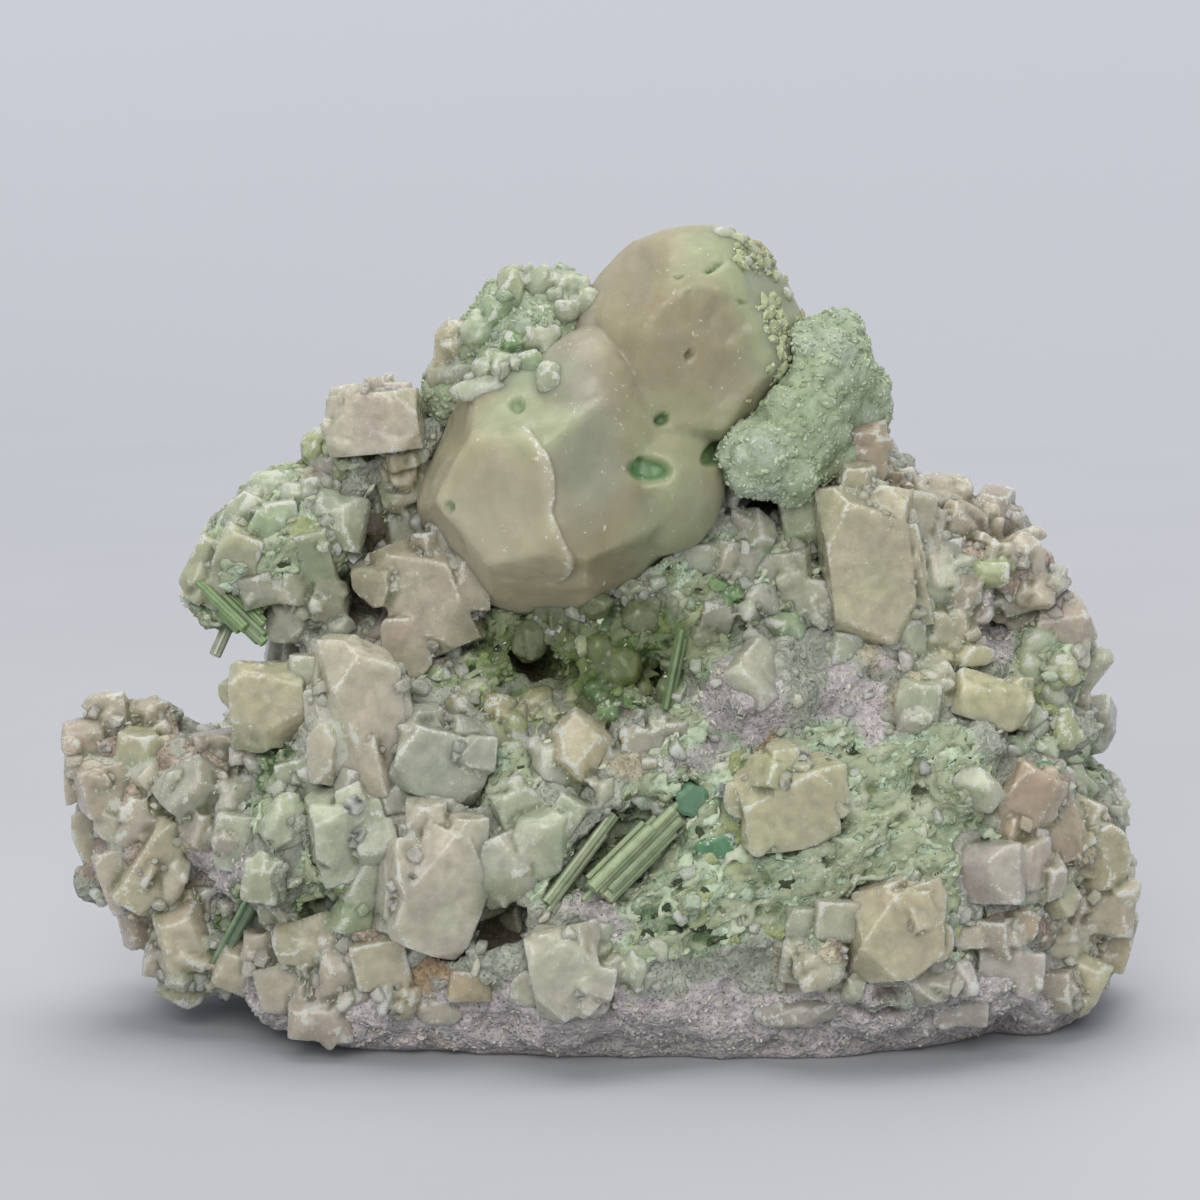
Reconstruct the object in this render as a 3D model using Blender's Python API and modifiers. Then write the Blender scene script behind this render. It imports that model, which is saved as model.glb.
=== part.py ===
"""A cabinet specimen of pollucite: cream pollucite crystals on a craggy matrix of lilac mica, albite
and quartz, with pale green mica crust and green tourmaline prisms.

Units are millimetres until a shape reaches the scene, where MM turns them into metres. The stone
stands on its flat rest face at Z = 0, +X runs to the right of its show side, and the show side
looks along -Y. Features of the show side are placed in a front drawing of the stone: `across` from
the drawing's middle line, `up` from its base line, and `depth` in front of the stone's mid plane.
The drawing is seen from slightly above, so `spot` carries each of its points into the stone.
"""

import itertools
import math
import random

import bmesh
import bpy
from mathutils import Euler, Matrix, Vector

MM = 0.001

# The stone's width, and the gap between pieces that have grown against each other
STONE_WIDTH = 130.0
SEAT_GAP = 0.38

# How finely the matrix and the green crusts are fused, and the triangles that each keeps
MATRIX_VOXEL = 1.3
MATRIX_TRIANGLES = 2300
CRUST_VOXEL = 0.8
CRUST_TRIANGLES = 400

# The front drawing's view: how far it looks down, from how far off, and at what heights
VIEW_TILT = math.radians(9.0)
VIEW_DISTANCE = 430.0
VIEW_HEIGHT = 51.1
DRAWING_MIDDLE = 54.0

# Where the middle of the stone's rest face lies in the drawing's own axes
REST_HEIGHT = 1.2
REST_MIDDLE = Vector((0.7, -2.1, REST_HEIGHT))

# The body of the matrix as level sections: height, left, right, front and back
BODY_SECTIONS = (
    (-2.0, -26, 44, -20, 20),
    (2.0, -34, 50, -24, 25),
    (8.0, -42, 55.5, -28, 28),
    (15.0, -46, 58.5, -30, 30),
    (22.0, -47, 59.5, -29, 30),
    (28.0, -44, 58, -27, 29),
    (34.0, -40, 56.5, -24, 28),
    (40.0, -39, 55, -20, 27),
    (46.0, -36, 53.5, -16, 25),
    (52.0, -32, 51, -13, 23),
    (58.0, -29, 47, -11, 21),
    (64.0, -25, 40, -9, 18),
    (70.0, -19, 31, -8, 15),
    (76.0, -13, 24, -6, 11),
    (80.0, -8, 17, -3, 7),
)
SECTION_POINTS = 28
SECTION_SQUARENESS = 0.72

# Rounded masses that stand out of the body: across, up, depth, radii and turn about the view line
MASSES = {
    "foot": (-53.2, 26.0, 3, (6.4, 12.0, 14.5), 19),
    "foot_top": (-58.8, 36.6, 4, (5.6, 8.0, 4.2), 14),
    "foot_corner": (-50.6, 36.4, 5, (4.4, 7.0, 3.4), -20),
    "foot_sole": (-46.4, 14.6, 5, (8.0, 12.0, 7.0), -40),
    "foot_web": (-47.0, 30.0, 8, (6.0, 9.0, 8.0), 0),
    "arm": (-38.0, 60.6, 5, (12.0, 9.5, 7.4), 36),
    "arm_tip": (-45.0, 54.6, 6, (4.2, 7.0, 4.4), 30),
    "shoulder": (-26.6, 73.6, 4, (7.0, 8.0, 5.0), 8),
    "left_ledge": (-31.0, 39.0, 13, (11.0, 9.0, 8.0), 0),
    "left_slope": (-30.0, 24.0, 16, (15.5, 11.0, 11.0), 0),
    "base_left": (-26.0, 9.5, 14, (13.0, 12.0, 8.5), 0),
    "base_middle": (2.0, 10.0, 18, (19.0, 12.0, 8.0), 0),
    "base_right": (33.0, 11.0, 16, (18.0, 13.0, 9.0), 0),
    "left_heel": (-36.5, 9.0, 12, (9.0, 10.0, 5.5), -22),
    "right_heel": (52.0, 9.5, 8, (8.0, 12.0, 6.5), 24),
    "green_slope": (24.0, 22.0, 17, (18.0, 12.0, 13.0), 0),
    "right_slope": (36.0, 33.0, 12, (15.0, 11.0, 11.0), 0),
    "lilac_brow": (20.0, 43.0, 13, (13.0, 8.0, 6.0), -6),
    "centre_rib": (4.0, 36.0, 9, (13.0, 8.0, 8.0), 0),
    "hanging_cluster": (2.0, 49.0, 10, (8.0, 7.0, 6.5), 0),
    "right_column": (33.0, 58.0, 5, (7.0, 8.0, 10.0), 8),
    "right_brow": (43.6, 56.4, 0, (9.0, 10.0, 7.6), -30),
    "right_crust": (53.0, 44.5, 2, (5.0, 9.0, 8.5), 0),
    "right_flank": (56.0, 21.0, 1, (6.2, 13.0, 15.5), 0),
    "back_left": (-27.0, 34.0, -17, (16.0, 11.0, 20.0), 10),
    "back_right": (28.0, 36.0, -18, (20.0, 11.0, 22.0), -8),
    "back_foot": (6.0, 14.0, -20, (34.0, 10.0, 12.0), 0),
}

# Hollows of the show side, in the same form
HOLLOWS = {
    "arm_pocket": (-26.4, 62.4, 8, (3.4, 10.0, 2.9), 20),
    "arm_cleft": (-29.5, 53.0, 9, (5.4, 11.0, 2.7), 38),
    "cleft_under_pollucite": (-7.2, 46.2, 14, (5.6, 11.0, 2.3), -14),
    "slot_under_pollucite": (6.6, 44.4, 16, (3.2, 9.0, 3.6), 0),
    "pocket_under_knob": (19.6, 63.6, 11, (5.4, 10.0, 2.8), 0),
    "prism_hollow": (3.2, 23.8, 28, (8.4, 9.0, 4.6), 42),
    "base_pocket": (-12.8, 14.4, 30, (3.6, 10.0, 3.2), 0),
    "left_pocket": (-33.4, 17.4, 26, (3.8, 8.0, 2.2), -10),
    "brow_pocket": (47.6, 50.6, 9, (2.6, 9.0, 3.8), 18),
    "foot_notch": (-48.0, 41.0, 4, (4.6, 16.0, 4.0), 0),
}

# Fracture faces of the back, where the stone broke off its pocket wall: the way each looks, along
# +X, +Y and +Z, and its distance from the drawing's axis
FRACTURES = (
    ((0.10, 1.00, 0.16), 29.5),
    ((-0.62, 0.76, 0.20), 40.0),
    ((0.66, 0.70, 0.28), 47.0),
    ((-0.20, 0.72, 0.66), 57.0),
    ((0.30, 0.60, -0.72), 20.0),
    ((-0.50, 0.50, -0.66), 25.5),
)

# The stone's own roughness: broad undulations and blocky breaks
WAVE_SIZE = 17.0
WAVE_DEPTH = 3.0
BREAK_SIZE = 7.5
BREAK_DEPTH = 2.4
CRUST_BUMP_SIZE = 3.1
CRUST_BUMP_DEPTH = 1.5

# Crystals that are fused to the matrix along its outline: across, up, depth, length, width and the
# way they point in the drawing, in degrees
EDGE_CRYSTALS = (
    (-60.8, 35.4, 4, 4.8, 5.6, 155),
    (-57.6, 38.4, 5, 5.6, 6.0, 110),
    (-52.6, 39.0, 6, 5.6, 5.6, 60),
    (-60.4, 29.5, 2, 4.6, 6.0, 200),
    (-57.6, 22.0, 2, 4.5, 6.4, 205),
    (-54.4, 15.0, 2, 4.5, 6.4, 215),
    (-45.6, 36.6, 4, 5.0, 5.0, 95),
    (-41.4, 63.4, 4, 4.5, 5.0, 130),
    (-47.4, 56.6, 6, 4.0, 5.0, 165),
    (-37.4, 66.8, 4, 4.5, 5.5, 110),
    (-32.6, 72.6, 4, 4.0, 5.0, 160),
    (-30.0, 77.0, 3, 4.5, 5.5, 110),
    (-23.6, 77.4, 4, 4.5, 5.5, 85),
    (33.2, 67.6, 2, 8.0, 6.5, 80),
    (37.5, 66.4, 0, 5.0, 6.0, 60),
    (42.4, 65.2, -2, 6.0, 7.4, 75),
    (48.0, 62.6, -2, 6.0, 6.4, 65),
    (51.6, 57.6, 0, 5.5, 5.5, 40),
    (52.6, 53.0, 2, 6.0, 6.0, 35),
    (56.0, 50.0, 4, 4.5, 6.0, 30),
    (57.4, 46.0, 2, 4.0, 5.0, 0),
    (58.2, 38.6, 2, 4.0, 6.5, 20),
    (60.2, 31.2, 0, 4.0, 6.5, 15),
    (61.2, 24.0, 0, 4.5, 8.0, 10),
    (61.6, 15.6, 2, 4.5, 7.4, -5),
    (58.0, 9.8, 4, 4.5, 7.0, -30),
)

# How far a drawn crystal leans towards the viewer, and how much of it is sunk in the matrix
CRYSTAL_LEAN = 0.35
SUNK_SHARE = 0.55

# Crystals sown over the rest of the matrix: how many, how much thinner on the back, their widths,
# their lengths as shares of the width, and how far they stay from the large pieces and the ground
SOWN_CRYSTALS = 46
SOWN_BACK_SHARE = 0.35
SOWN_WIDTH = (4.4, 8.8)
SOWN_SLENDERNESS = (0.9, 1.3)
SOWN_JITTER = 0.45
SOWN_KEEP_CLEAR = 6.0
SOWN_LOWEST = 9.0
SOWN_SEED = 20

# The pollucite, two intergrown crystals: middle, radii, then flat faces as the way each face looks
# (across, up, towards the viewer) and its distance from the middle
UPPER_POLLUCITE = {
    "middle": (11.0, 83.2, 5.0),
    "radii": (13.4, 13.0, 15.8),
    "faces": (
        ((0.10, 0.02, 0.99), 10.8),
        ((-0.62, 0.55, 0.56), 12.6),
        ((-0.97, -0.05, 0.22), 11.2),
        ((0.80, 0.45, 0.40), 12.0),
        ((0.72, -0.52, 0.46), 11.0),
        ((0.00, -0.80, 0.60), 12.2),
        ((-0.25, 0.93, -0.25), 13.8),
        ((0.30, 0.20, -0.93), 10.0),
    ),
}
LOWER_POLLUCITE = {
    "middle": (-5.6, 67.2, 12.0),
    "radii": (15.8, 14.4, 14.8),
    "faces": (
        ((-0.42, 0.06, 0.90), 12.2),
        ((0.50, 0.18, 0.85), 11.2),
        ((-0.78, -0.50, 0.38), 13.2),
        ((-0.88, 0.42, 0.22), 13.0),
        ((-0.10, -0.80, 0.60), 12.4),
        ((0.62, -0.62, 0.48), 12.6),
        ((-0.20, 0.85, 0.48), 12.0),
        ((0.00, 0.10, -0.99), 11.5),
    ),
}

# The pale green knob: across, up, depth and radius of each lobe
KNOB_LOBES = (
    (25.8, 81.2, 7.0, 7.2),
    (29.4, 78.6, 5.0, 5.6),
    (23.8, 75.6, 10.0, 6.4),
    (18.8, 71.0, 14.0, 5.0),
    (22.6, 70.2, 12.0, 5.0),
    (28.0, 84.6, 4.5, 4.4),
    (30.6, 74.6, 5.0, 4.2),
    (27.2, 72.2, 7.5, 4.8),
    (21.6, 82.6, 3.5, 4.6),
)

# The green druse left of the upper crystal, in the same form
DRUSE_LOBES = (
    (-10.6, 89.2, 3.0, 4.2),
    (-5.2, 89.6, 2.0, 4.5),
    (-1.6, 88.0, 4.5, 3.6),
    (-12.2, 85.0, 4.5, 5.0),
    (-6.6, 85.4, 5.5, 4.8),
    (-15.8, 83.4, 3.5, 4.2),
    (-10.8, 80.6, 7.0, 4.6),
    (-17.6, 79.0, 3.0, 4.4),
)
DRUSE_CRYSTALS = (
    (-11.4, 89.4, 3.5, 3.6, 5.0, 105),
    (-4.6, 89.8, 2.5, 3.4, 4.8, 80),
    (-16.6, 84.0, 4.0, 3.2, 4.4, 120),
    (-8.0, 83.6, 8.0, 3.5, 4.2, 250),
)

# Large crystals that stand by themselves: middle in the drawing and its depth, half sizes across,
# deep and up, turn about the view line, and the seed of their corner faces
BLOCK_CRYSTALS = {
    "quartz_block_left": (-39.4, 41.4, 17.0, (4.3, 4.4, 4.9), 4, 1),
    "quartz_column_left": (-28.8, 40.8, 20.5, (4.1, 4.2, 8.6), 5, 2),
    "quartz_point_grey": (-19.6, 34.8, 21.0, (5.4, 4.0, 3.9), -18, 3),
    "quartz_square_left": (-30.6, 26.2, 25.0, (4.1, 3.8, 4.4), 6, 4),
    "quartz_slab_left": (-19.4, 19.4, 27.5, (4.6, 3.6, 7.0), -24, 5),
    "quartz_tablet_front": (-4.2, 9.4, 31.5, (3.9, 3.2, 5.2), 10, 6),
    "quartz_block_centre": (1.4, 34.6, 17.0, (4.2, 3.6, 4.2), -8, 7),
    "albite_block_yellow": (22.4, 29.8, 27.0, (5.2, 4.0, 4.4), 12, 8),
    "albite_plate_yellow": (46.2, 42.2, 15.0, (4.3, 3.4, 2.7), -20, 9),
    "quartz_block_right": (35.0, 14.2, 29.0, (4.9, 3.8, 5.0), 0, 10),
    "quartz_column_right": (31.6, 58.6, 12.0, (4.8, 5.0, 9.4), 8, 11),
    "quartz_column_under": (-20.4, 54.6, 12.0, (4.4, 4.6, 7.0), 24, 12),
    "quartz_block_top_left": (-27.0, 75.4, 9.0, (5.4, 4.4, 3.5), 6, 13),
}

# Green tourmaline prisms: foot and tip in the drawing, each with its depth, and the width
TOURMALINES = {
    "tourmaline_front_left": ((-6.4, 17.6, 28.5), (1.6, 28.2, 24.0), 2.3),
    "tourmaline_front_right": ((-0.4, 19.0, 29.5), (9.0, 28.4, 24.5), 3.4),
    "tourmaline_teal_stub": ((9.6, 31.4, 15.0), (11.2, 29.8, 25.0), 3.8),
    "tourmaline_lower_left": ((-45.4, 10.8, 16.0), (-40.4, 20.2, 21.0), 2.6),
    "tourmaline_under_pollucite": ((7.8, 40.6, 18.5), (9.8, 50.4, 16.5), 1.9),
    "tourmaline_arm_spray": ((-47.6, 56.2, 12.0), (-40.6, 49.4, 15.0), 3.2),
    "tourmaline_arm_tip": ((-43.4, 53.6, 8.0), (-46.2, 47.4, 10.0), 2.4),
}

# How a prism ends: the share of its length that narrows, and the width left at its very end
TOURMALINE_END = (0.06, 0.5)
DRUSE_CRYSTAL_END = (0.3, 0.4)

# Colours of the minerals, with roughness
COLOURS = {
    "matrix": ((0.52, 0.50, 0.47), 0.75),
    "pollucite": ((0.56, 0.52, 0.40), 0.35),
    "green_mica": ((0.46, 0.58, 0.44), 0.7),
    "quartz": ((0.52, 0.50, 0.42), 0.3),
    "albite": ((0.60, 0.58, 0.42), 0.4),
    "tourmaline": ((0.24, 0.40, 0.22), 0.25),
}


def spot(across, up, depth):
    """The point of the stone that the front drawing shows at across and up, depth in front."""
    drawn_up = up - DRAWING_MIDDLE
    eye_back = VIEW_DISTANCE * math.cos(VIEW_TILT)
    eye_height = VIEW_HEIGHT + VIEW_DISTANCE * math.sin(VIEW_TILT)
    reach = (eye_back - depth) / (eye_back + drawn_up * math.sin(VIEW_TILT))
    fall = drawn_up * math.cos(VIEW_TILT) - VIEW_DISTANCE * math.sin(VIEW_TILT)
    return Vector((reach * across, -depth, eye_height + reach * fall))


def view_way(across, up, towards):
    """A direction given across, up and towards the viewer, in the stone's own axes."""
    return Vector((across, -towards, up)).normalized()


def drawn_way(angle_degrees):
    """A direction given as an angle in the drawing, leaning a little towards the viewer."""
    angle = math.radians(angle_degrees)
    return view_way(math.cos(angle), math.sin(angle), CRYSTAL_LEAN)


def make_collection(name):
    collection = bpy.data.collections.new(name)
    bpy.context.scene.collection.children.link(collection)
    return collection


def mineral(name):
    """The material of one mineral, made once."""
    found = bpy.data.materials.get(name)
    if found:
        return found
    colour, roughness = COLOURS[name]
    material = bpy.data.materials.new(name)
    material.use_nodes = True
    shader = material.node_tree.nodes["Principled BSDF"]
    shader.inputs["Base Color"].default_value = (*colour, 1.0)
    shader.inputs["Roughness"].default_value = roughness
    shader.inputs["Metallic"].default_value = 0.0
    return material


def put_in_scene(shape, name, collection, material_name=None):
    """Turns a bmesh in millimetres into an object in metres."""
    bmesh.ops.recalc_face_normals(shape, faces=shape.faces)
    bmesh.ops.scale(shape, vec=(MM, MM, MM), verts=shape.verts)
    mesh = bpy.data.meshes.new(name)
    shape.to_mesh(mesh)
    shape.free()
    thing = bpy.data.objects.new(name, mesh)
    collection.objects.link(thing)
    if material_name:
        mesh.materials.append(mineral(material_name))
    return thing


def make_cutter(thing):
    thing.hide_render = True
    thing.display_type = "WIRE"
    return thing


def add_modifier(thing, kind, **settings):
    modifier = thing.modifiers.new(kind.title(), kind)
    for setting, value in settings.items():
        setattr(modifier, setting, value)


def combine(thing, other, operation):
    """Joins another object or collection to the thing, cuts it away, or keeps what both fill."""
    if isinstance(other, bpy.types.Collection):
        operand = {"operand_type": "COLLECTION", "collection": other}
    else:
        operand = {"operand_type": "OBJECT", "object": other}
    add_modifier(thing, "BOOLEAN", operation=operation, **operand)


def ball(shape, middle, radii, turn_degrees=0.0):
    """Adds an ellipsoid to a bmesh, turned about the line of view."""
    turn = Matrix.Rotation(math.radians(-turn_degrees), 4, "Y")
    place = Matrix.Translation(middle) @ turn @ Matrix.Diagonal((*radii, 1.0))
    bmesh.ops.create_icosphere(shape, subdivisions=3, radius=1.0, matrix=place)


def big_cube():
    """A cube that holds the whole stone."""
    shape = bmesh.new()
    bmesh.ops.create_cube(shape, size=2.0 * STONE_WIDTH)
    return shape


def cut_flat(shape, point, outwards):
    """Cuts everything beyond a plane off a closed bmesh, and closes it with one flat face."""
    everything = shape.verts[:] + shape.edges[:] + shape.faces[:]
    cut = bmesh.ops.bisect_plane(
        shape, geom=everything, plane_co=point, plane_no=outwards, clear_outer=True
    )
    rim = [edge for edge in cut["geom_cut"] if isinstance(edge, bmesh.types.BMEdge)]
    if rim:
        bmesh.ops.edgeloop_fill(shape, edges=rim)


def faceted_ball(feature):
    """A rounded crystal with flat faces, as pollucite grows."""
    middle = spot(*feature["middle"])
    shape = bmesh.new()
    ball(shape, middle, feature["radii"])
    for (across, up, towards), distance in feature["faces"]:
        outwards = view_way(across, up, towards)
        cut_flat(shape, middle + outwards * distance, outwards)
    return shape


def cut_block(middle, half_sizes, turn_degrees, seed):
    """A stout crystal: a block whose corners end in flat faces of their own."""
    chance = random.Random(seed)
    half = Vector(half_sizes)
    shape = bmesh.new()
    bmesh.ops.create_cube(shape, size=2.0)
    bmesh.ops.scale(shape, vec=half, verts=shape.verts)
    for signs in itertools.product((-1, 1), repeat=3):
        corner = half * Vector(signs)
        outwards = Vector([sign * chance.uniform(0.25, 1.0) for sign in signs]).normalized()
        cut_flat(shape, corner * chance.uniform(0.62, 0.86), outwards)
    lean = Euler((math.radians(chance.uniform(-14, 14)), 0.0, math.radians(chance.uniform(-20, 20))))
    turn = Matrix.Rotation(math.radians(-turn_degrees), 4, "Y") @ lean.to_matrix().to_4x4()
    bmesh.ops.transform(shape, matrix=Matrix.Translation(middle) @ turn, verts=shape.verts)
    return shape


def prism(shape, foot, tip, width, sides, end_share, end_width):
    """Adds a prism from foot to tip, whose last share of the length narrows to a blunt end."""
    along = tip - foot
    way = along.normalized()
    straight = along.length * (1.0 - end_share)
    turn = along.to_track_quat("Z", "Y").to_matrix().to_4x4()
    place = Matrix.Translation(foot) @ turn @ Matrix.Translation((0.0, 0.0, straight / 2))
    made = bmesh.ops.create_cone(
        shape,
        cap_ends=True,
        segments=sides,
        radius1=width / 2,
        radius2=width / 2,
        depth=straight,
        matrix=place,
    )
    faces = [face for vert in made["verts"] for face in vert.link_faces]
    top = max(faces, key=lambda face: (face.calc_center_median() - foot).dot(way))
    bmesh.ops.inset_region(shape, faces=[top], thickness=width * (0.5 - end_width / 2))
    bmesh.ops.translate(shape, vec=way * (along.length - straight), verts=top.verts)


def body_shape():
    """The body of the matrix, lofted through its level sections."""
    shape = bmesh.new()
    rings = []
    for height, left, right, front, back in BODY_SECTIONS:
        middle = Vector(((left + right) / 2, (front + back) / 2, height))
        ring = []
        for step in range(SECTION_POINTS):
            angle = 2 * math.pi * step / SECTION_POINTS
            x = math.copysign(abs(math.cos(angle)) ** SECTION_SQUARENESS, math.cos(angle))
            y = math.copysign(abs(math.sin(angle)) ** SECTION_SQUARENESS, math.sin(angle))
            offset = Vector((x * (right - left) / 2, y * (back - front) / 2, 0.0))
            ring.append(shape.verts.new(middle + offset))
        rings.append(ring)
    for low, high in zip(rings, rings[1:]):
        for step in range(SECTION_POINTS):
            after = (step + 1) % SECTION_POINTS
            shape.faces.new((low[step], low[after], high[after], high[step]))
    shape.faces.new(list(reversed(rings[0])))
    shape.faces.new(rings[-1])
    return shape


def roughen(thing, kind, size, strength, mid_level=0.5):
    """Moves the surface in and out by a procedural texture of the given grain size."""
    texture = bpy.data.textures.new(f"{thing.name}_{kind.lower()}", kind)
    texture.noise_scale = size * MM
    add_modifier(
        thing,
        "DISPLACE",
        texture=texture,
        texture_coords="GLOBAL",
        strength=strength * MM,
        mid_level=mid_level,
    )


def fuse(thing, voxel):
    """Makes one closed skin of shells that overlap."""
    add_modifier(thing, "REMESH", mode="VOXEL", voxel_size=voxel * MM)


def settle(thing):
    """Makes the shape that the modifiers give the thing's own mesh."""
    graph = bpy.context.evaluated_depsgraph_get()
    settled = bpy.data.meshes.new_from_object(thing.evaluated_get(graph), depsgraph=graph)
    thing.modifiers.clear()
    thing.data = settled


def thin_out(thing, triangles):
    """Reduces the thing to about so many triangles."""
    settle(thing)
    thing.data.calc_loop_triangles()
    add_modifier(thing, "DECIMATE", ratio=triangles / len(thing.data.loop_triangles))
    settle(thing)


def shells(shape):
    """The separate closed surfaces of a bmesh, as lists of points."""
    unseen = set(shape.verts)
    found = []
    for start in shape.verts:
        if start not in unseen:
            continue
        unseen.discard(start)
        shell = [start]
        for vert in shell:
            for edge in vert.link_edges:
                other = edge.other_vert(vert)
                if other in unseen:
                    unseen.discard(other)
                    shell.append(other)
        found.append(shell)
    return found


def keep_main_shell(thing):
    """Clears crumbs that the cuts have left beside the thing's main surface."""
    shape = bmesh.new()
    shape.from_mesh(thing.data)
    crumbs = sorted(shells(shape), key=len)[:-1]
    bmesh.ops.delete(shape, geom=[vert for crumb in crumbs for vert in crumb], context="VERTS")
    shape.to_mesh(thing.data)
    shape.free()


def fracture_block():
    """A block that holds the whole stone, bounded by its fracture faces."""
    shape = big_cube()
    for way, distance in FRACTURES:
        outwards = Vector(way).normalized()
        cut_flat(shape, outwards * distance, outwards)
    return make_cutter(put_in_scene(shape, "fracture_block", helpers))


def rock_form():
    """The matrix without its crystals: masses fused into one, hollowed, then roughened."""
    shape = body_shape()
    for across, up, depth, radii, turn in MASSES.values():
        ball(shape, spot(across, up, depth), radii, turn)
    rock = put_in_scene(shape, "matrix", stone, "matrix")
    hollow_shape = bmesh.new()
    for across, up, depth, radii, turn in HOLLOWS.values():
        ball(hollow_shape, spot(across, up, depth), radii, turn)
    hollows = make_cutter(put_in_scene(hollow_shape, "hollows", helpers))
    fuse(hollows, MATRIX_VOXEL)
    fuse(rock, MATRIX_VOXEL)
    combine(rock, fracture_block(), "INTERSECT")
    combine(rock, hollows, "DIFFERENCE")
    fuse(rock, MATRIX_VOXEL)
    roughen(rock, "CLOUDS", WAVE_SIZE, WAVE_DEPTH)
    roughen(rock, "VORONOI", BREAK_SIZE, BREAK_DEPTH, 0.3)
    thin_out(rock, MATRIX_TRIANGLES)
    return rock


def small_crystal(foot, way, length, width, chance):
    """A crystal that is fused to the matrix, sunk by part of its length."""
    shape = bmesh.new()
    sunk = foot - way * length * SUNK_SHARE
    tip = foot + way * length * (1.0 - SUNK_SHARE)
    sides = chance.choice((4, 4, 5))
    prism(shape, sunk, tip, width, sides, chance.uniform(0.2, 0.4), chance.uniform(0.3, 0.7))
    return shape


def grow_small_crystals(rock, keep_clear):
    """Joins crystals to the rock: by hand along its outline, at random over the rest."""
    crystals = make_collection("fused_crystals")
    chance = random.Random(SOWN_SEED)
    for number, (across, up, depth, length, width, angle) in enumerate(EDGE_CRYSTALS):
        way = drawn_way(angle)
        crystal = small_crystal(spot(across, up, depth), way, length, width, chance)
        make_cutter(put_in_scene(crystal, f"edge_crystal_{number}", crystals))
    faces = rock.data.polygons
    weights = [face.area * (1.0 if face.normal.y < 0.2 else SOWN_BACK_SHARE) for face in faces]
    made = 0
    while made < SOWN_CRYSTALS:
        face = chance.choices(faces, weights=weights)[0]
        foot = face.center / MM
        jitter = Vector([chance.uniform(-SOWN_JITTER, SOWN_JITTER) for _ in range(3)])
        way = (face.normal + jitter).normalized()
        width = chance.uniform(*SOWN_WIDTH)
        length = width * chance.uniform(*SOWN_SLENDERNESS)
        crowded = any((foot - other).length < SOWN_KEEP_CLEAR for other in keep_clear)
        if foot.z < SOWN_LOWEST or crowded:
            continue
        crystal = small_crystal(foot, way, length, width, chance)
        make_cutter(put_in_scene(crystal, f"sown_crystal_{made}", crystals))
        made += 1
    combine(rock, crystals, "UNION")
    settle(rock)


def crust(name, lobe_places, crystal_places=()):
    """A rounded crust of green mica: lobes fused into one, with small bumps."""
    shape = bmesh.new()
    for across, up, depth, radius in lobe_places:
        ball(shape, spot(across, up, depth), (radius, radius, radius))
    for across, up, depth, length, width, angle in crystal_places:
        way = drawn_way(angle)
        foot = spot(across, up, depth)
        prism(shape, foot - way * length / 2, foot + way * length, width, 6, *DRUSE_CRYSTAL_END)
    lump = put_in_scene(shape, name, stone, "green_mica")
    fuse(lump, CRUST_VOXEL)
    roughen(lump, "CLOUDS", CRUST_BUMP_SIZE, CRUST_BUMP_DEPTH)
    thin_out(lump, CRUST_TRIANGLES)
    return lump


def seat_of(thing):
    """The thing's shape with the gap added all round, to cut its seat into its neighbours."""
    seat = bpy.data.objects.new(f"{thing.name}_seat", thing.data.copy())
    helpers.objects.link(seat)
    add_modifier(seat, "DISPLACE", strength=SEAT_GAP * MM, mid_level=0.0)
    settle(seat)
    return make_cutter(seat)


def middle_of(thing):
    """The middle of the thing's points, in millimetres."""
    points = [vert.co for vert in thing.data.vertices]
    return sum(points, Vector()) / len(points) / MM


def reach_each_other(thing, other):
    """Whether the boxes of two things meet."""
    for axis in range(3):
        own = [corner[axis] for corner in thing.bound_box]
        others = [corner[axis] for corner in other.bound_box]
        if max(own) < min(others) - SEAT_GAP * MM or max(others) < min(own) - SEAT_GAP * MM:
            return False
    return True


def cut_seats(thing, cutters):
    """Cuts the seats of the neighbours that reach the thing."""
    for cutter in cutters:
        if reach_each_other(thing, cutter):
            combine(thing, cutter, "DIFFERENCE")
    settle(thing)
    keep_main_shell(thing)


# The scene starts empty
for leftover in list(bpy.data.objects):
    bpy.data.objects.remove(leftover, do_unlink=True)
stone = make_collection("pollucite_specimen")
helpers = make_collection("cutters")

# The two pollucite crystals, grown into each other
second = make_cutter(put_in_scene(faceted_ball(UPPER_POLLUCITE), "upper_crystal", helpers))
pollucite = put_in_scene(faceted_ball(LOWER_POLLUCITE), "pollucite_crystals", stone, "pollucite")
combine(pollucite, second, "UNION")
settle(pollucite)
pieces = [pollucite]
seats = [seat_of(pollucite)]

# The large crystals, the prisms and the green crusts, each fitted to those before it
for name, (across, up, depth, half_sizes, turn, seed) in BLOCK_CRYSTALS.items():
    block = cut_block(spot(across, up, depth), half_sizes, turn, seed)
    pieces.append(put_in_scene(block, name, stone, name.split("_")[0]))
for name, (foot, tip, width) in TOURMALINES.items():
    needle = bmesh.new()
    prism(needle, spot(*foot), spot(*tip), width, 6, *TOURMALINE_END)
    pieces.append(put_in_scene(needle, name, stone, "tourmaline"))
pieces.append(crust("green_mica_knob", KNOB_LOBES))
pieces.append(crust("green_mica_druse", DRUSE_LOBES, DRUSE_CRYSTALS))
for piece in pieces[1:]:
    cut_seats(piece, seats)
    seats.append(seat_of(piece))

# The matrix, with its own crystals, the seats of all pieces and the flat face it rests on
matrix = rock_form()
grow_small_crystals(matrix, [middle_of(piece) for piece in pieces])
below = big_cube()
bmesh.ops.translate(below, vec=(0.0, 0.0, REST_HEIGHT - STONE_WIDTH), verts=below.verts)
ground = make_cutter(put_in_scene(below, "ground", helpers))
cut_seats(matrix, seats + [ground])

# The origin is under the middle of the stone, on its rest face
for thing in stone.objects:
    thing.data.transform(Matrix.Translation(-REST_MIDDLE * MM))
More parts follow.
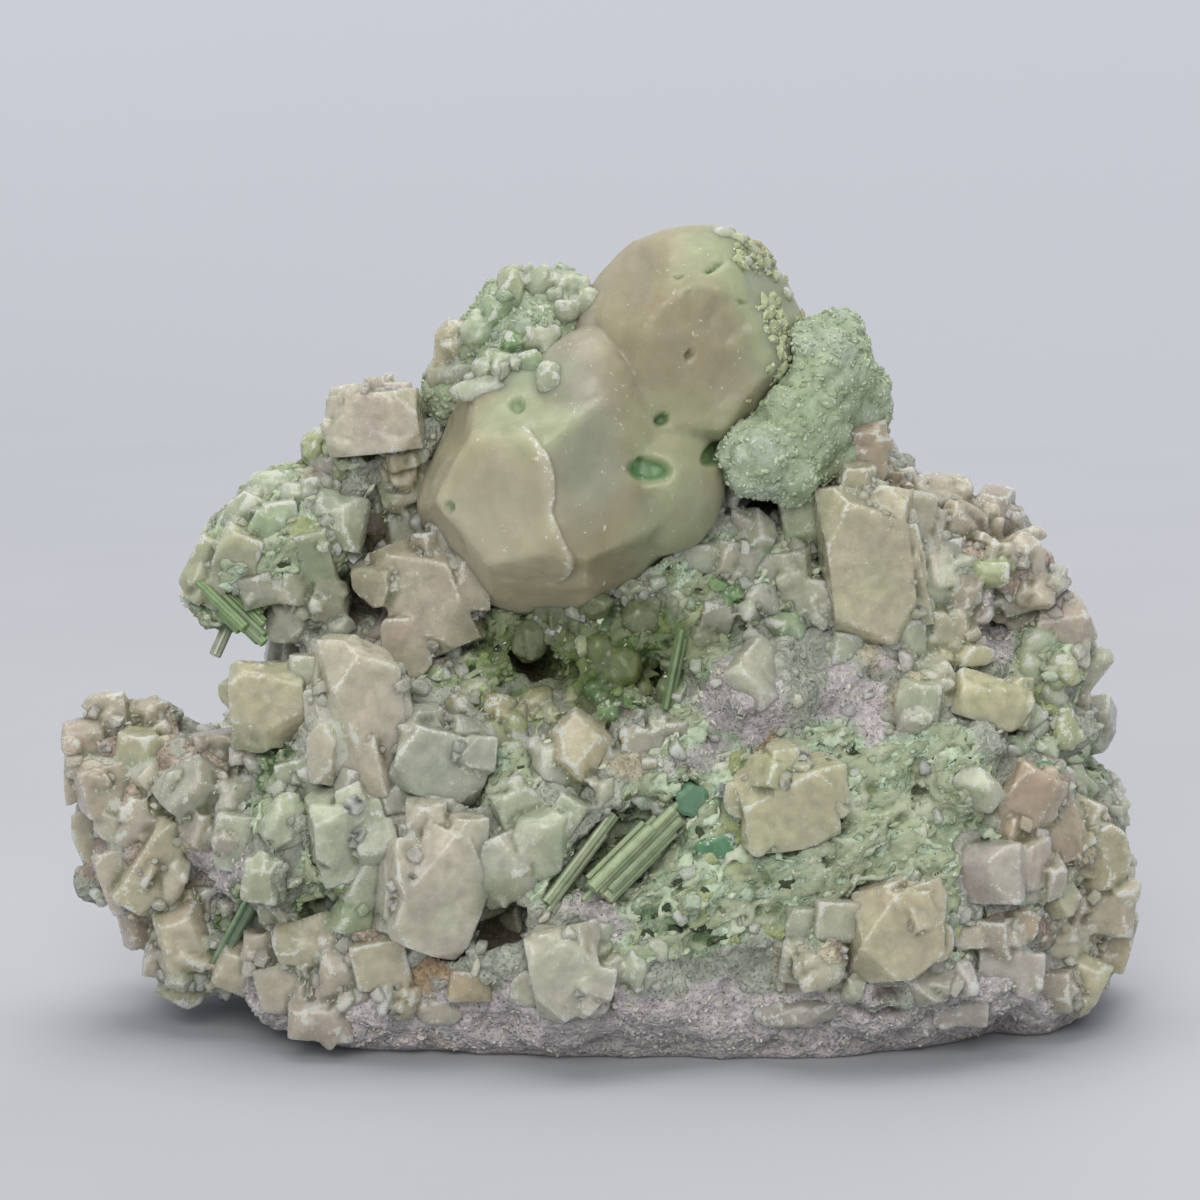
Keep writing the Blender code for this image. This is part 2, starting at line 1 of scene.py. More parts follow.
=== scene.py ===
# %% [markdown]
# # A pollucite specimen
#
# A collector calls this a cabinet specimen: two big cream crystals of pollucite on a craggy piece of
# pegmatite, among pale green mica, lilac mica, cloudy quartz and albite, and a few green tourmalines.
# The solids that carry the weight are already made. This lesson gives them their looks: it rebuilds
# each surface at the size of its own grains, grows the small crystals, and lights the stone softly,
# as on a light table.

import itertools
import math

import bpy
import numpy as np
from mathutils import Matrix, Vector
from mathutils.bvhtree import BVHTree


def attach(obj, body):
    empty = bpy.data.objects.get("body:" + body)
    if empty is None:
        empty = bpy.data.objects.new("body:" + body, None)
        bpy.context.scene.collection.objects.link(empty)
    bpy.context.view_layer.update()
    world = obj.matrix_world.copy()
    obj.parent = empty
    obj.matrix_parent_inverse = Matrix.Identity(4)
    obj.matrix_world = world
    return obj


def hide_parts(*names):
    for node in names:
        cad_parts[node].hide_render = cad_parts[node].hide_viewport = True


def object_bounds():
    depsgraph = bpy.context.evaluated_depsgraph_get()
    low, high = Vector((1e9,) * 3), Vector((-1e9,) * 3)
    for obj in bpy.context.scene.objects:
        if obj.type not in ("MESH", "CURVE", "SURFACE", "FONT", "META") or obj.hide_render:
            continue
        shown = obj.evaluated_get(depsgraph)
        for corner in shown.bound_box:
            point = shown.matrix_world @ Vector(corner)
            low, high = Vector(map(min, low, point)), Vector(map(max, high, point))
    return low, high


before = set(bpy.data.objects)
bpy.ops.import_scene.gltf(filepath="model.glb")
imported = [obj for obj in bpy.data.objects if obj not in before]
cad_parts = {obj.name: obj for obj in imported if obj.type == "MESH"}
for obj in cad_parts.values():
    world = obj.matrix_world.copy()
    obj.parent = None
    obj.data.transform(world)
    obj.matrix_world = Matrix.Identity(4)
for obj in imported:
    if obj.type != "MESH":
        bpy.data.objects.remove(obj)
cad_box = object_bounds()
print("solids:", len(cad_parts), "box in mm:", [round(v * 1000, 1) for v in cad_box[1]])

# %% [markdown]
# ## The front drawing
#
# Every feature of the show side is placed in a drawing of the stone from the front: how far across
# from the middle line, and how far up from the base line, in millimetres. The drawing is seen by the
# camera, slightly from above, so a point of it is a line of sight and not yet a place in space. The
# helpers below turn one into the other. Small things are later placed where their line of sight meets
# the stone, so they sit on it from every side.

# %% The drawing and its line of sight
MM = 0.001
VIEW_TILT = math.radians(9.0)
VIEW_DISTANCE = 430.0
VIEW_HEIGHT = 51.1
DRAWING_MIDDLE = 54.0
REST_MIDDLE = Vector((0.7, -2.1, 1.2))
EYE_BACK = VIEW_DISTANCE * math.cos(VIEW_TILT)
EYE_RISE = VIEW_DISTANCE * math.sin(VIEW_TILT)
EYE = Vector((0.0, -EYE_BACK, VIEW_HEIGHT + EYE_RISE)) - REST_MIDDLE
SIGHT = Vector((0.0, math.cos(VIEW_TILT), -math.sin(VIEW_TILT)))
DRAWN_UP = Vector((0.0, math.sin(VIEW_TILT), math.cos(VIEW_TILT)))


def spot(across, up, depth):
    """The point of the stone at a place of the drawing, depth in front of its middle, in mm."""
    drawn_up = up - DRAWING_MIDDLE
    reach = (EYE_BACK - depth) / (EYE_BACK + drawn_up * math.sin(VIEW_TILT))
    fall = drawn_up * math.cos(VIEW_TILT) - EYE_RISE
    return Vector((reach * across, -depth, VIEW_HEIGHT + EYE_RISE + reach * fall)) - REST_MIDDLE


def drawn(points):
    """Where points of the stone, rows in mm, show in the drawing: across and up."""
    seen = points - np.array(EYE)
    far = seen @ np.array(SIGHT)
    across = seen[:, 0] * VIEW_DISTANCE / far
    up = seen @ np.array(DRAWN_UP) * VIEW_DISTANCE / far + DRAWING_MIDDLE
    return np.stack((across, up), axis=1)


def sight_line(across, up):
    """The direction from the eye through a place of the drawing."""
    return (SIGHT * VIEW_DISTANCE + Vector((across, 0, 0)) + DRAWN_UP * (up - DRAWING_MIDDLE)).normalized()


# %% [markdown]
# ## Camera, floor and light
#
# The stone stands in a light tent: pale card below and all round, a large soft lamp above, one far
# in front and a weaker one behind, so that every side gets light. A round cove has no corner, so no
# line crosses the background from any side. It is made from a ring whose rim is extruded upwards in
# small steps along a quarter circle. Far from the stone the card glows a little, because the lamps
# don't reach it evenly.

# %% Camera
SENSOR = 36.0
PICTURE_WIDTH = 144.0
camera = bpy.data.objects.new("camera", bpy.data.cameras.new("camera"))
bpy.context.scene.collection.objects.link(camera)
camera.location = EYE * MM
camera.rotation_euler = (math.radians(90.0) - VIEW_TILT, 0.0, 0.0)
camera.data.sensor_width = SENSOR
camera.data.lens = SENSOR * VIEW_DISTANCE / PICTURE_WIDTH
camera.data.clip_start = 0.01
bpy.context.scene.camera = camera


# %% Helpers for modelling by hand
def deselect_all():
    bpy.ops.object.select_all(action="DESELECT")


def select_only(piece):
    deselect_all()
    piece.select_set(True)
    bpy.context.view_layer.objects.active = piece


def in_edit_mode(piece):
    select_only(piece)
    bpy.ops.object.mode_set(mode="EDIT")
    bpy.ops.mesh.select_all(action="SELECT")


def in_object_mode():
    bpy.ops.object.mode_set(mode="OBJECT")


def card_colour(red, green, blue):
    """A colour read from a colour card, from 0 to 255, as the shader wants it."""
    parts = [value / 255.0 for value in (red, green, blue)]
    return [part / 12.92 if part < 0.04045 else ((part + 0.055) / 1.055) ** 2.4 for part in parts]


# %% The floor and the cove behind it
COVE_FLOOR = 0.62
COVE_BEND = 0.42
COVE_STEPS = 14
COVE_TOP = 1.1
RIM_POINTS = 128

deselect_all()
bpy.ops.mesh.primitive_circle_add(vertices=RIM_POINTS, radius=COVE_FLOOR, fill_type="NGON")
floor = bpy.context.object
floor.name = "floor"
deselect_all()
bpy.ops.mesh.primitive_circle_add(vertices=RIM_POINTS, radius=COVE_FLOOR, fill_type="NOTHING")
cove = bpy.context.object
cove.name = "cove"
in_edit_mode(cove)
radius, height = COVE_FLOOR, 0.0
for step in range(1, COVE_STEPS + 1):
    angle = math.radians(90.0 * step / COVE_STEPS)
    wider = COVE_FLOOR + COVE_BEND * math.sin(angle)
    higher = COVE_BEND * (1.0 - math.cos(angle))
    bpy.ops.mesh.extrude_edges_move(TRANSFORM_OT_translate={"value": (0.0, 0.0, higher - height)})
    bpy.ops.transform.resize(value=(wider / radius, wider / radius, 1.0))
    radius, height = wider, higher
bpy.ops.mesh.extrude_edges_move(TRANSFORM_OT_translate={"value": (0.0, 0.0, COVE_TOP - height)})
in_object_mode()
bpy.ops.object.shade_smooth()
cove.visible_diffuse = False
cove.visible_shadow = False


# %% Helpers for materials
def new_material(name, **values):
    """A material whose shader sockets take the given values: Base_Color is Base Color."""
    material = bpy.data.materials.new(name)
    material.use_nodes = True
    shader = material.node_tree.nodes["Principled BSDF"]
    for socket, value in values.items():
        shader.inputs[socket.replace("_", " ")].default_value = value
    return material


def shader_of(material):
    return material.node_tree.nodes["Principled BSDF"]


def add_node(material, kind, inputs=(), **settings):
    """Adds a shader node. Inputs are pairs of a socket's name or number and a value or a socket."""
    node = material.node_tree.nodes.new("ShaderNode" + kind)
    for setting, value in settings.items():
        setattr(node, setting, value)
    for socket, value in inputs:
        if isinstance(value, bpy.types.NodeSocket):
            material.node_tree.links.new(value, node.inputs[socket])
        else:
            node.inputs[socket].default_value = value
    return node


def plug(material, socket, value):
    """Links a value into a socket of the material's shader."""
    material.node_tree.links.new(value, shader_of(material).inputs[socket])


def place_in_stone(material):
    return add_node(material, "TexCoord").outputs["Object"]


def noise(material, size, detail=2.0, roughness=0.5, stretch=None):
    """Soft noise with lumps of about size millimetres."""
    place = place_in_stone(material)
    if stretch:
        turn, scale = stretch
        place = add_node(
            material, "Mapping", [("Vector", place), ("Rotation", turn), ("Scale", scale)]
        ).outputs["Vector"]
    inputs = [("Vector", place), ("Scale", 1.0 / (size * MM)), ("Detail", detail), ("Roughness", roughness)]
    return add_node(material, "TexNoise", inputs).outputs["Fac"]


def grains(material, size, feature="F1", output="Distance"):
    """Cells of about size millimetres."""
    inputs = [("Vector", place_in_stone(material)), ("Scale", 1.0 / (size * MM))]
    return add_node(material, "TexVoronoi", inputs, feature=feature).outputs[output]


def fitted(material, value, low, high, new_low=0.0, new_high=1.0):
    """Carries the span from low to high over to a new span, and stops at its ends."""
    inputs = [(0, value), (1, low), (2, high), (3, new_low), (4, new_high)]
    return add_node(material, "MapRange", inputs).outputs[0]


def blended(material, share, first, second, way="MIX"):
    """Two colours mixed by a share, which is a number or a socket."""
    inputs = [(0, share), (6, first), (7, second)]
    return add_node(material, "Mix", inputs, data_type="RGBA", blend_type=way).outputs[2]


def bumped(material, height, distance, strength=1.0, before=None):
    """Raises the surface's look by a height, by so many millimetres."""
    inputs = [("Height", height), ("Distance", distance * MM), ("Strength", strength)]
    if before:
        inputs.append(("Normal", before))
    return add_node(material, "Bump", inputs).outputs["Normal"]


def stored_colour(material, name):
    return add_node(material, "Attribute", attribute_name=name).outputs["Color"]


def stored_value(material, name):
    return add_node(material, "Attribute", attribute_name=name).outputs["Fac"]


# %% Card, lamps and air
card = new_material("white_card", Roughness=0.9, Specular_IOR_Level=0.1)
card_shade = fitted(card, noise(card, 90.0), 0.3, 0.7, 0.0, 1.0)
card_tones = [(*card_colour(*tone), 1) for tone in ((202, 204, 210), (205, 207, 213))]
plug(card, "Base Color", blended(card, card_shade, *card_tones))
FAR_GLOW = (0.075, 0.078, 0.09, 1)
TOP_GLOW = (0.22, 0.22, 0.22, 1)
GLOW_START = 0.28
card_reach = add_node(card, "VectorMath", [(0, place_in_stone(card))], operation="LENGTH").outputs["Value"]
far_out = fitted(card, card_reach, GLOW_START, COVE_FLOOR)
plug(card, "Emission Color", blended(card, far_out, (0.0, 0.0, 0.0, 1), FAR_GLOW))
shader_of(card).inputs["Emission Strength"].default_value = 1.0
card.cycles.emission_sampling = "NONE"
floor.data.materials.append(card)
far_card = new_material("far_card", Roughness=1.0, Specular_IOR_Level=0.0, Emission_Strength=1.0)
height = add_node(far_card, "SeparateXYZ", [(0, place_in_stone(far_card))]).outputs["Z"]
climb = fitted(far_card, height, 0.0, 0.42)
far_colours = [(*card_colour(*tone), 1) for tone in ((204, 206, 212), (226, 229, 238))]
plug(far_card, "Base Color", blended(far_card, climb, *far_colours))
plug(far_card, "Emission Color", blended(far_card, climb, FAR_GLOW, TOP_GLOW))
far_card.cycles.emission_sampling = "NONE"
cove.data.materials.append(far_card)


def add_lamp(name, place, target, size, power, colour=(1.0, 1.0, 1.0)):
    """A square soft lamp that looks at a target."""
    lamp = bpy.data.objects.new(name, bpy.data.lights.new(name, "AREA"))
    bpy.context.scene.collection.objects.link(lamp)
    lamp.location = place
    lamp.rotation_euler = (Vector(target) - Vector(place)).to_track_quat("-Z", "Y").to_euler()
    lamp.data.size = size
    lamp.data.energy = power
    lamp.data.color = colour
    lamp.visible_camera = False
    return lamp


add_lamp("lamp_above", (-0.03, 0.02, 0.95), (0.0, 0.0, 0.0), 0.8, 5.0, (1.0, 0.98, 0.925))
add_lamp("lamp_front", (-0.18, -1.5, 0.9), (0.0, 0.0, 0.04), 1.05, 15.5, (1.0, 0.98, 0.92))
add_lamp("lamp_behind", (0.5, 1.45, 0.9), (0.0, 0.0, 0.04), 1.0, 6.0, (1.0, 0.98, 0.92))
world = bpy.data.worlds.new("soft_room")
world.use_nodes = True
world.node_tree.nodes["Background"].inputs["Color"].default_value = (0.80, 0.86, 1.0, 1.0)
world.node_tree.nodes["Background"].inputs["Strength"].default_value = 0.28
bpy.context.scene.world = world
bpy.context.scene.view_settings.view_transform = "Standard"
bpy.context.scene.cycles.max_bounces = 4
bpy.context.scene.cycles.diffuse_bounces = 1
bpy.context.scene.cycles.glossy_bounces = 2
bpy.context.scene.cycles.transmission_bounces = 2

# %% [markdown]
# ## Which mineral is where
#
# The specimen is a patchwork: mint green mica on the slopes, lilac mica along the base, rosy and cream
# feldspar at the sides. A person would paint this on the model by hand. Here the painting is a short
# list of oval patches for each mineral, placed in the front drawing. Noise bends their edges.
# Behind the stone the drawing says nothing, so large noise lumps share the same minerals out there.

# %% The minerals' colours, as on a colour card
GROUND_COLOURS = {
    "mint": (186, 205, 180),
    "apple": (160, 182, 124),
    "pine": (88, 128, 82),
    "lilac": (199, 192, 194),
    "rose": (178, 160, 146),
    "cream": (188, 180, 156),
    "grey": (168, 172, 160),
    "white": (206, 203, 192),
    "rust": (186, 160, 128),
    # shade is no mineral: a dark brown painted into the cavities as shade
    "shade": (104, 92, 80),
}
MINERALS = list(GROUND_COLOURS)

# %% Patches in the drawing: across, up, half width, half height and turn in degrees
PATCHES = {
    "mint": (
        (26.4, 24.0, 22.8, 11.4, -12),
        (10.8, 15.0, 9.6, 4.2, 0),
        (34.8, 32.0, 11.4, 6.6, -10),
        (4.8, 19.0, 7.2, 3.4, 0),
        (52.8, 47.4, 4.6, 6.6, 0),
        (57.5, 31.2, 1.7, 5.0, 0),
        (60.0, 34.8, 1.2, 2.4, 0),
        (8.2, 37.3, 3.4, 3.6, 0),
        (-6.8, 52.1, 2.4, 2.2, 0),
        (18.0, 55.8, 7.8, 5.0, 0),
        (-39.6, 67.0, 6.0, 3.6, 20),
        (-36.0, 58.8, 6.0, 4.8, 0),
        (-46.2, 58.8, 3.6, 4.8, 20),
        (-48.0, 52.6, 2.6, 3.6, 0),
        (-30.0, 74.2, 6.0, 1.9, 0),
        (-21.0, 68.2, 4.3, 2.9, 0),
        (12.0, 58.8, 4.8, 2.4, 0),
        (10.8, 49.2, 4.8, 3.6, 0),
        (-14.4, 53.4, 4.8, 3.6, 0),
        (-39.7, 29.0, 2.6, 3.4, 0),
        (-12.0, 32.2, 7.2, 4.2, 0),
        (-4.8, 21.4, 4.8, 4.8, 0),
        (-30.0, 21.4, 4.8, 4.3, 0),
        (-21.6, 32.2, 3.6, 2.4, 0),
    ),
    "apple": (
        (1.1, 48.2, 5.8, 6.2, 0),
        (-15.7, 44.8, 3.4, 1.9, 0),
        (-8.0, 41.0, 3.0, 2.2, 0),
        (51.8, 47.8, 2.6, 1.4, 0),
        (55.4, 43.7, 1.7, 1.4, 0),
        (47.2, 57.4, 1.9, 1.2, 0),
        (36.0, 18.2, 2.6, 1.2, 0),
        (-11.4, 48.0, 3.6, 2.4, 0),
        (19.4, 32.4, 3.1, 1.2, 0),
        (-32.2, 73.1, 3.6, 1.4, 0),
        (-4.8, 54.0, 3.6, 1.7, 0),
    ),
    "pine": (
        (3.4, 45.8, 3.6, 4.1, 0),
        (-3.6, 82.4, 2.4, 1.4, 0),
        (-33.8, 16.6, 2.4, 1.7, 0),
        (0.0, 23.8, 3.1, 2.9, 30),
        (-42.0, 59.3, 2.9, 1.9, 0),
        (-43.2, 51.4, 3.6, 2.4, -20),
        (-43.7, 15.1, 1.2, 4.3, 22),
        (-38.9, 34.1, 1.2, 2.4, 14),
        (35.8, 52.0, 1.9, 0.6, 0),
        (-11.0, 54.0, 1.2, 1.4, 0),
        (50.4, 46.8, 1.1, 1.0, 0),
    ),
    "lilac": (
        (-4.8, 3.4, 22.8, 3.6, 2),
        (-32.4, 4.8, 12.0, 4.6, -8),
        (-46.0, 21.7, 3.4, 3.8, 0),
        (-40.1, 10.7, 2.9, 3.8, 0),
        (-54.4, 11.8, 3.4, 2.9, 0),
        (-59.9, 36.7, 2.9, 1.6, -10),
        (16.9, 42.0, 5.8, 4.3, 0),
        (11.2, 34.6, 4.8, 1.7, 0),
        (30.0, 41.6, 4.3, 3.6, 0),
        (34.9, 48.5, 3.8, 2.2, 0),
        (46.4, 50.4, 1.7, 3.6, 0),
        (45.7, 20.2, 5.0, 3.6, 0),
        (48.0, 7.0, 7.9, 4.6, 10),
        (23.5, 4.2, 14.4, 2.9, 0),
        (1.4, 15.4, 5.0, 1.4, 0),
        (-22.1, 41.0, 2.4, 1.9, 0),
        (-58.8, 23.9, 2.4, 3.4, 0),
        (-46.7, 31.2, 1.9, 1.7, 0),
        (-18.6, 26.2, 3.0, 1.7, 0),
        (40.8, 55.2, 1.7, 2.4, 0),
        (39.0, 65.4, 1.7, 3.4, 0),
    ),
    "rose": (
        (-57.6, 30.0, 6.6, 9.6, -20),
        (-44.4, 35.6, 3.4, 1.9, 0),
        (53.3, 28.2, 4.6, 6.0, 0),
        (43.2, 63.6, 6.0, 4.2, 0),
        (50.4, 58.8, 4.8, 4.8, 0),
        (31.2, 72.0, 3.4, 4.8, 0),
        (-27.6, 77.4, 6.0, 2.4, 0),
        (-36.0, 68.4, 3.6, 1.4, 0),
        (-17.9, 22.1, 4.8, 4.8, 0),
        (-30.5, 13.0, 5.4, 2.6, 0),
        (29.2, 12.8, 3.6, 1.7, 0),
        (48.0, 14.4, 4.8, 2.4, 0),
        (-19.2, 52.6, 4.3, 5.5, 0),
    ),
    "cream": (
        (59.0, 20.4, 4.6, 8.4, 0),
        (59.9, 7.9, 3.1, 5.0, 0),
        (34.9, 13.7, 4.6, 5.0, 0),
        (26.5, 9.8, 3.1, 2.4, 0),
        (32.4, 58.8, 5.4, 10.8, 0),
        (42.2, 49.2, 1.9, 3.6, 0),
        (38.8, 43.4, 3.1, 2.6, 0),
        (-51.6, 20.4, 3.6, 7.2, -20),
        (-24.0, 70.8, 2.4, 2.2, 0),
        (1.2, 35.8, 4.2, 3.0, 0),
        (-38.4, 44.4, 5.4, 4.8, 0),
        (-28.8, 42.0, 4.2, 7.2, 0),
    ),
    "grey": (
        (-20.4, 34.8, 6.0, 4.2, 0),
        (-32.4, 26.4, 6.0, 4.8, 0),
        (-13.2, 22.8, 6.0, 5.4, 0),
        (-7.2, 30.0, 6.0, 6.0, 0),
        (-3.6, 9.0, 4.2, 5.4, 0),
        (-18.0, 14.4, 4.8, 4.8, 0),
        (-34.8, 51.6, 6.0, 6.0, 0),
        (21.6, 52.6, 7.2, 4.3, 0),
    ),
    "white": (
        (-23.9, 26.2, 2.6, 2.2, 0),
        (41.4, 56.9, 1.7, 2.2, 0),
        (36.0, 49.2, 2.4, 1.2, 0),
        (-28.8, 48.0, 2.4, 1.2, 0),
        (-43.8, 39.1, 1.8, 1.4, 0),
        (-50.4, 25.0, 1.4, 2.4, 0),
        (-36.0, 30.0, 1.8, 1.0, 0),
    ),
    "rust": (
        (-20.6, 8.2, 1.9, 2.6, 0),
        (18.8, 36.2, 1.4, 1.7, 0),
        (33.8, 55.0, 1.7, 1.3, 0),
        (-32.8, 77.0, 1.4, 1.4, 0),
        (26.5, 23.6, 1.4, 1.2, 0),
        (-18.6, 1.7, 1.2, 0.8, 0),
        (-23.0, 5.8, 1.4, 1.4, 0),
    ),
    # Cavities that get painted shade
    "shade": (
        (-26.4, 62.4, 2.9, 2.4, 0),
        (-29.8, 53.4, 3.1, 1.9, -20),
        (-7.8, 46.6, 3.4, 1.6, 0),
        (-0.2, 42.6, 1.9, 2.9, 20),
        (19.8, 64.4, 2.6, 1.7, 0),
        (-13.0, 15.0, 3.1, 3.1, 0),
        (-0.1, 17.6, 1.9, 0.7, 0),
        (34.9, 5.3, 3.1, 1.1, 0),
        (47.4, 52.2, 1.1, 1.9, 0),
        (28.6, 67.0, 1.7, 1.0, 0),
    ),
}

# %% Smooth noise and cells for whole meshes at once
NOISE_GRID = 32


def clouds(points, size, seed):
    """Soft lumps from -1 to 1, about size millimetres across, at rows of points in mm."""
    values = np.random.default_rng(seed).uniform(-1.0, 1.0, (NOISE_GRID,) * 3)
    place = points / size
    low = np.floor(place).astype(int)
    share = place - low
    share = share * share * (3.0 - 2.0 * share)
    total = np.zeros(len(points))
    for corner in itertools.product((0, 1), repeat=3):
        weight = np.prod(np.where(corner, share, 1.0 - share), axis=1)
        total += weight * values[tuple(((low + corner) % NOISE_GRID).T)]
    return total


def cells(points, size, seed):
    """For each point, how far its nearest and second nearest cell middles are, and that cell's number."""
    middles = np.random.default_rng(seed).uniform(0.0, 1.0, (NOISE_GRID, NOISE_GRID, NOISE_GRID, 3))
    place = points / size
    low = np.floor(place).astype(int)
    nearest = np.full(len(points), 9.0)
    second = nearest.copy()
    number = np.zeros(len(points))
    for corner in itertools.product((-1, 0, 1), repeat=3):
        cell = low + corner
        key = cell % NOISE_GRID
        far = np.linalg.norm(cell + middles[tuple(key.T)] - place, axis=1)
        closer = far < nearest
        second = np.where(closer, nearest, np.minimum(second, far))
        number = np.where(closer, middles[tuple(key.T)][:, 0], number)
        nearest = np.where(closer, far, nearest)
    return nearest * size, second * size, number


def rise(values, low, high):
    """0 below low, 1 above high, and a smooth rise between."""
    share = np.clip((values - low) / (high - low), 0.0, 1.0)
    return share * share * (3.0 - 2.0 * share)


# %% Shares of each mineral at any point
EDGE_BEND = 2.6
FRONT_ENDS = (8.0, 26.0)


def patch_strength(place, patch):
    """How strongly a patch covers places in the drawing: 1 in its middle, 0 well outside."""
    across, up, half_width, half_height, turn = patch
    angle = math.radians(turn)
    away = place - (across, up)
    along = away[:, 0] * math.cos(angle) + away[:, 1] * math.sin(angle)
    beside = away[:, 1] * math.cos(angle) - away[:, 0] * math.sin(angle)
    return 1.0 - rise(np.hypot(along / half_width, beside / half_height), 0.55, 1.25)


def mineral_shares(points):
    """The share of each mineral at rows of points in mm: one column for each of MINERALS."""
    bent = points + EDGE_BEND * np.stack([clouds(points, 3.4, seed) for seed in (1, 2, 3)], axis=1)
    place = drawn(bent)
    shares = np.zeros((len(points), len(MINERALS)))
    for column, mineral in enumerate(MINERALS):
        for patch in PATCHES[mineral]:
            shares[:, column] = np.maximum(shares[:, column], patch_strength(place, patch))
    shares[:, MINERALS.index("grey")] += 0.12
    shares[:, MINERALS.index("lilac")] += 0.5 * (1.0 - rise(points[:, 2], 2.5, 6.0))
    behind = np.zeros_like(shares)
    low_down = 1.0 - rise(points[:, 2], 12.0, 34.0)
    behind[:, MINERALS.index("lilac")] = rise(clouds(points, 17.0, 4) + 0.5 * low_down, 0.0, 0.3)
    behind[:, MINERALS.index("mint")] = rise(clouds(points, 15.0, 5), 0.1, 0.35)
    behind[:, MINERALS.index("rose")] = rise(clouds(points, 13.0, 6), 0.0, 0.3)
    behind[:, MINERALS.index("cream")] = rise(clouds(points, 11.0, 7), 0.1, 0.4)
    behind[:, MINERALS.index("grey")] = 0.25
    hidden = rise(points[:, 1], *FRONT_ENDS)[:, None]
    shares = shares * (1.0 - hidden) + behind * hidden
    shares = shares ** 2
    return shares / shares.sum(axis=1, keepdims=True)


# Recesses under the overhangs, darkened with painted shade that fades out towards the back: across, up, half
# width, half height, turn and how much of the colour is left
SHADED_RECESSES = (
    (-1.0, 49.0, 16.0, 7.5, 0, 0.38),
    (-31.0, 58.0, 7.0, 6.0, 0, 0.72),
    (-38.0, 18.0, 7.0, 4.0, 0, 0.8),
    (-12.0, 17.0, 3.4, 4.0, 0, 0.7),
)


def recess_shade(points):
    """How much of its colour each point keeps under the painted shade of the recesses, as a column."""
    seen = drawn(points)
    left = np.ones(len(points))
    for across, up, half_width, half_height, turn, kept in SHADED_RECESSES:
        strength = patch_strength(seen, (across, up, half_width, half_height, turn))
        left *= 1.0 - (1.0 - kept) * strength * (1.0 - rise(points[:, 1], 0.0, 12.0))
    return left[:, None] ** np.array((1.05, 0.95, 1.35))


def palette(colours):
    """The card colours of the minerals as rows."""
    return np.array([card_colour(*colours[mineral]) for mineral in MINERALS])


# %% Reading and writing a mesh's points
def points_of(piece):
    """The piece's points as rows, in mm."""
    rows = np.empty(len(piece.data.vertices) * 3, np.float32)
    piece.data.vertices.foreach_get("co", rows)
    return rows.reshape(-1, 3).astype(float) / MM


def normals_of(piece):
    rows = np.empty(len(piece.data.vertices) * 3, np.float32)
    piece.data.vertices.foreach_get("normal", rows)
    return rows.reshape(-1, 3).astype(float)


def move_points(piece, points):
    piece.data.vertices.foreach_set("co", (points * MM).astype(np.float32).ravel())
    piece.data.update()


def store_value(mesh, name, values):
    attribute = mesh.attributes.new(name, "FLOAT", "POINT")
    attribute.data.foreach_set("value", values.astype(np.float32))


def store_colour(mesh, name, colours):
    attribute = mesh.attributes.new(name, "FLOAT_COLOR", "POINT")
    rows = np.concatenate((colours, np.ones((len(colours), 1))), axis=1)
    attribute.data.foreach_set("color", rows.astype(np.float32).ravel())


# %% Starting from a solid
def copy_solids(name, *nodes):
    """The solids of some nodes as one new piece, with their loose triangles merged."""
    copies = []
    for node in nodes:
        piece = bpy.data.objects.new(name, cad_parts[node].data.copy())
        bpy.context.scene.collection.objects.link(piece)
        piece.data.materials.clear()
        copies.append(piece)
    select_only(copies[0])
    for piece in copies:
        piece.select_set(True)
    bpy.ops.object.join()
    piece = bpy.context.object
    in_edit_mode(piece)
    bpy.ops.mesh.remove_doubles(threshold=0.00001)
    in_object_mode()
    return piece


def apply_modifier(piece, kind, **settings):
    modifier = piece.modifiers.new(kind.title(), kind)
    for setting, value in settings.items():
        setattr(modifier, setting, value)
    select_only(piece)
    bpy.ops.object.modifier_apply(modifier=modifier.name)


def count(piece):
    piece.data.calc_loop_triangles()
    return len(piece.data.loop_triangles)


def keep_in_box(points):
    """Points that stand out of the solids' own box go back to its side."""
    lowest, highest = (np.array(corner) / MM for corner in cad_box)
    return np.clip(points, lowest, highest)


# %% [markdown]
# ## The rock
#
# The matrix is the rock that everything grew on. Its solid has the large ledges and hollows, but no
# grain. A voxel remesh gives it an even skin of small faces, and then each mineral gets its own
# relief, pushed along the surface: rounded bumps for the mint crust, fine grit for lilac mica,
# blocky steps for the feldspar. Hollows are pressed deeper, because they look dark in real life
# only when light can't reach their floor.

# %% An even skin
ROCK_GRAIN = 0.66
rock = copy_solids("matrix_rock", "matrix")
apply_modifier(rock, "REMESH", mode="VOXEL", voxel_size=ROCK_GRAIN * MM)
apply_modifier(rock, "SMOOTH", factor=0.5, iterations=3)
rock_skin = points_of(rock)
rock_ways = normals_of(rock)
rock_shares = mineral_shares(rock_skin)
print("rock points:", len(rock_skin), "triangles:", count(rock))


# %% Relief of each mineral
def share_of(*minerals):
    return sum(rock_shares[:, MINERALS.index(mineral)] for mineral in minerals)


def domes(points, size, height, seed):
    """Rounded bumps: high in the middle of each cell and low where cells meet."""
    nearest, second, _ = cells(points, size, seed)
    return height * np.sqrt(np.clip((second - nearest) / size, 0.0, 1.0))


def steps(points, size, height, seed):
    """Blocky steps: each cell has a level of its own."""
    _, _, number = cells(points, size, seed)
    return height * (number - 0.5)


